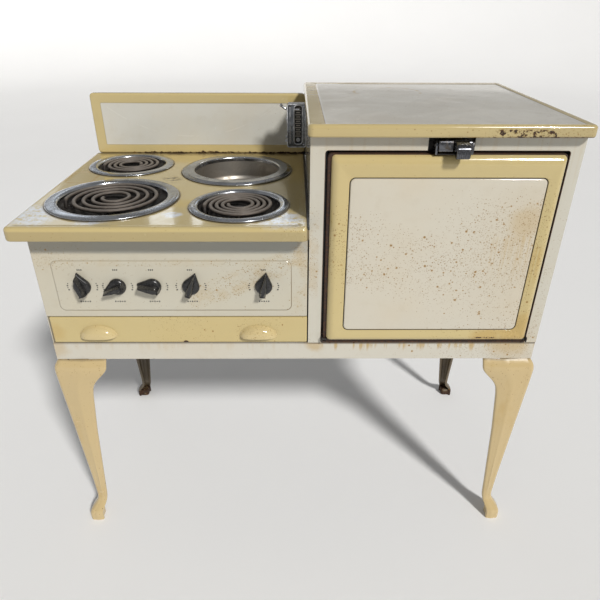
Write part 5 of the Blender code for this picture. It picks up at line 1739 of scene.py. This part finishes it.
def make_stage():
    """A pale floor that turns up into a low wall, an even sky, a sun and four windows."""
    profile = [(AXIS, 0.0), (3.0, 0.0), (FLOOR_REACH, 0.0)]
    profile += [(FLOOR_REACH + FLOOR_TURN * sin(radians(8.0 * i)),
                 FLOOR_TURN - FLOOR_TURN * cos(radians(8.0 * i)))
                for i in range(1, 10)]
    loops = [[(r * cos(2 * pi * i / 96), r * sin(2 * pi * i / 96), z) for i in range(96)] for r,
             z in profile]
    floor = skin("floor", loops)
    if sum(face.normal.z * face.area for face in floor.data.polygons) < 0:
        floor.data.flip_normals()
    floor.data.polygons.foreach_set("use_smooth", [True] * len(floor.data.polygons))
    floor.data.materials.append(material("floor"))
    world = bpy.data.worlds.new("studio")
    world.use_nodes = True
    background = world.node_tree.nodes["Background"]
    background.inputs["Color"].default_value = (1.0, 1.0, 1.0, 1.0)
    background.inputs["Strength"].default_value = sizes().sky
    bpy.context.scene.world = world
    bpy.context.scene.view_settings.view_transform = "Standard"
    sun = bpy.data.lights.new("key", "SUN")
    sun.energy = sizes().key_power
    sun.angle = radians(7.0)
    sun.color = (1.0, 0.985, 0.96)
    key = bpy.data.objects.new("key", sun)
    key.rotation_euler = Vector(SUN_WAY).to_track_quat("-Z", "Y").to_euler()
    bpy.context.scene.collection.objects.link(key)
    for name, left, right, low, top, bright in WINDOWS:
        area = (right - left) * (top - low)
        area_light(name, ((left + right) / 2, WINDOW_Y, (low + top) / 2), (-0.3, -0.3, 0.914),
                   bright * pi * area, right - left, top - low, (0.86, 0.93, 1.0))

    lens = bpy.data.cameras.new("view")
    lens.lens = VIEW_LENS
    lens.sensor_width = 36.0
    lens.shift_x, lens.shift_y = 0.0, VIEW_SHIFT
    view = bpy.data.objects.new("view", lens)
    pitch, yaw, roll = radians(VIEW_PITCH), radians(VIEW_YAW), radians(VIEW_ROLL)
    view.matrix_world = (Matrix.Translation(VIEW_PLACE) @ Matrix.Rotation(-yaw, 4, "Z")
                         @ Matrix.Rotation(pi / 2 - pitch, 4, "X") @ Matrix.Rotation(roll, 4, "Z"))
    bpy.context.scene.collection.objects.link(view)
    bpy.context.scene.camera = view


# ---- add-on ------------------------------------------------------------------------------------------
class RANGE_OT_stage(bpy.types.Operator):
    """Floor, lamps and camera"""
    bl_idname = "range_parts.stage"
    bl_label = "Stage"

    def execute(self, context):
        make_stage()
        return {"FINISHED"}


class RANGE_OT_base(bpy.types.Operator):
    """Base band and the four pressed legs"""
    bl_idname = "range_parts.base"
    bl_label = "Base and legs"

    def execute(self, context):
        make_base()
        make_legs()
        return {"FINISHED"}


class RANGE_OT_case(bpy.types.Operator):
    """Outer panels, screws, louvres and the terminal box"""
    bl_idname = "range_parts.case"
    bl_label = "Outer panels"

    def execute(self, context):
        make_case()
        return {"FINISHED"}


class RANGE_OT_tops(bpy.types.Operator):
    """Cooking top, splash guard and oven top"""
    bl_idname = "range_parts.tops"
    bl_label = "Tops"

    def execute(self, context):
        make_cooktop()
        make_splash()
        make_oven_top()
        return {"FINISHED"}


class RANGE_OT_burners(bpy.types.Operator):
    """Trim rings, drip bowls and coils"""
    bl_idname = "range_parts.burners"
    bl_label = "Burners"

    def execute(self, context):
        make_burners()
        return {"FINISHED"}


class RANGE_OT_well(bpy.types.Operator):
    """Deep well with its collar and heater"""
    bl_idname = "range_parts.well"
    bl_label = "Deep well"

    def execute(self, context):
        make_well()
        return {"FINISHED"}


class RANGE_OT_panel(bpy.types.Operator):
    """Control panel and its printed marks"""
    bl_idname = "range_parts.panel"
    bl_label = "Control panel"

    def execute(self, context):
        make_panel()
        return {"FINISHED"}


class RANGE_OT_knobs(bpy.types.Operator):
    """Pointer knobs"""
    bl_idname = "range_parts.knobs"
    bl_label = "Knobs"

    def execute(self, context):
        make_knobs()
        return {"FINISHED"}


class RANGE_OT_tray(bpy.types.Operator):
    """Utensil tray with its front and cup pulls"""
    bl_idname = "range_parts.tray"
    bl_label = "Utensil tray"

    def execute(self, context):
        make_tray()
        return {"FINISHED"}


class RANGE_OT_oven(bpy.types.Operator):
    """Oven lining, rack and elements"""
    bl_idname = "range_parts.oven"
    bl_label = "Oven inside"

    def execute(self, context):
        make_oven_inside()
        return {"FINISHED"}


class RANGE_OT_door(bpy.types.Operator):
    """Oven door and its hinges"""
    bl_idname = "range_parts.door"
    bl_label = "Oven door"

    def execute(self, context):
        make_door()
        return {"FINISHED"}


class RANGE_OT_latch(bpy.types.Operator):
    """Lever latch on the oven door"""
    bl_idname = "range_parts.latch"
    bl_label = "Latch"

    def execute(self, context):
        make_latch()
        return {"FINISHED"}


class RANGE_OT_heat(bpy.types.Operator):
    """Heat control on the oven's left wall"""
    bl_idname = "range_parts.heat"
    bl_label = "Heat control"

    def execute(self, context):
        make_heat_control()
        return {"FINISHED"}


OPERATORS = (RANGE_OT_stage, RANGE_OT_base, RANGE_OT_case, RANGE_OT_tops, RANGE_OT_burners, RANGE_OT_well,
             RANGE_OT_panel, RANGE_OT_knobs, RANGE_OT_tray, RANGE_OT_oven, RANGE_OT_door, RANGE_OT_latch,
             RANGE_OT_heat)


class RANGE_PT_parts(bpy.types.Panel):
    """Makes the range's pieces, one group at a time"""
    bl_idname = "RANGE_PT_parts"
    bl_label = "Old Electric Range"
    bl_space_type = "VIEW_3D"
    bl_region_type = "UI"
    bl_category = "Range"

    def draw(self, context):
        layout = self.layout
        for group in (context.scene.range_sizes, context.scene.range_colours):
            column = layout.column()
            for key in group.__annotations__:
                column.prop(group, key)
        for kind in OPERATORS:
            layout.operator(kind.bl_idname)


CLASSES = (RangeColours, RangeSizes, *OPERATORS, RANGE_PT_parts)


def register():
    for kind in CLASSES:
        bpy.utils.register_class(kind)
    bpy.types.Scene.range_colours = bpy.props.PointerProperty(type=RangeColours)
    bpy.types.Scene.range_sizes = bpy.props.PointerProperty(type=RangeSizes)


def unregister():
    del bpy.types.Scene.range_sizes
    del bpy.types.Scene.range_colours
    for kind in reversed(CLASSES):
        bpy.utils.unregister_class(kind)


def main():
    register()
    for kind in OPERATORS:
        getattr(bpy.ops.range_parts, kind.bl_idname.split(".")[1])()


if __name__ == "__main__":
    main()
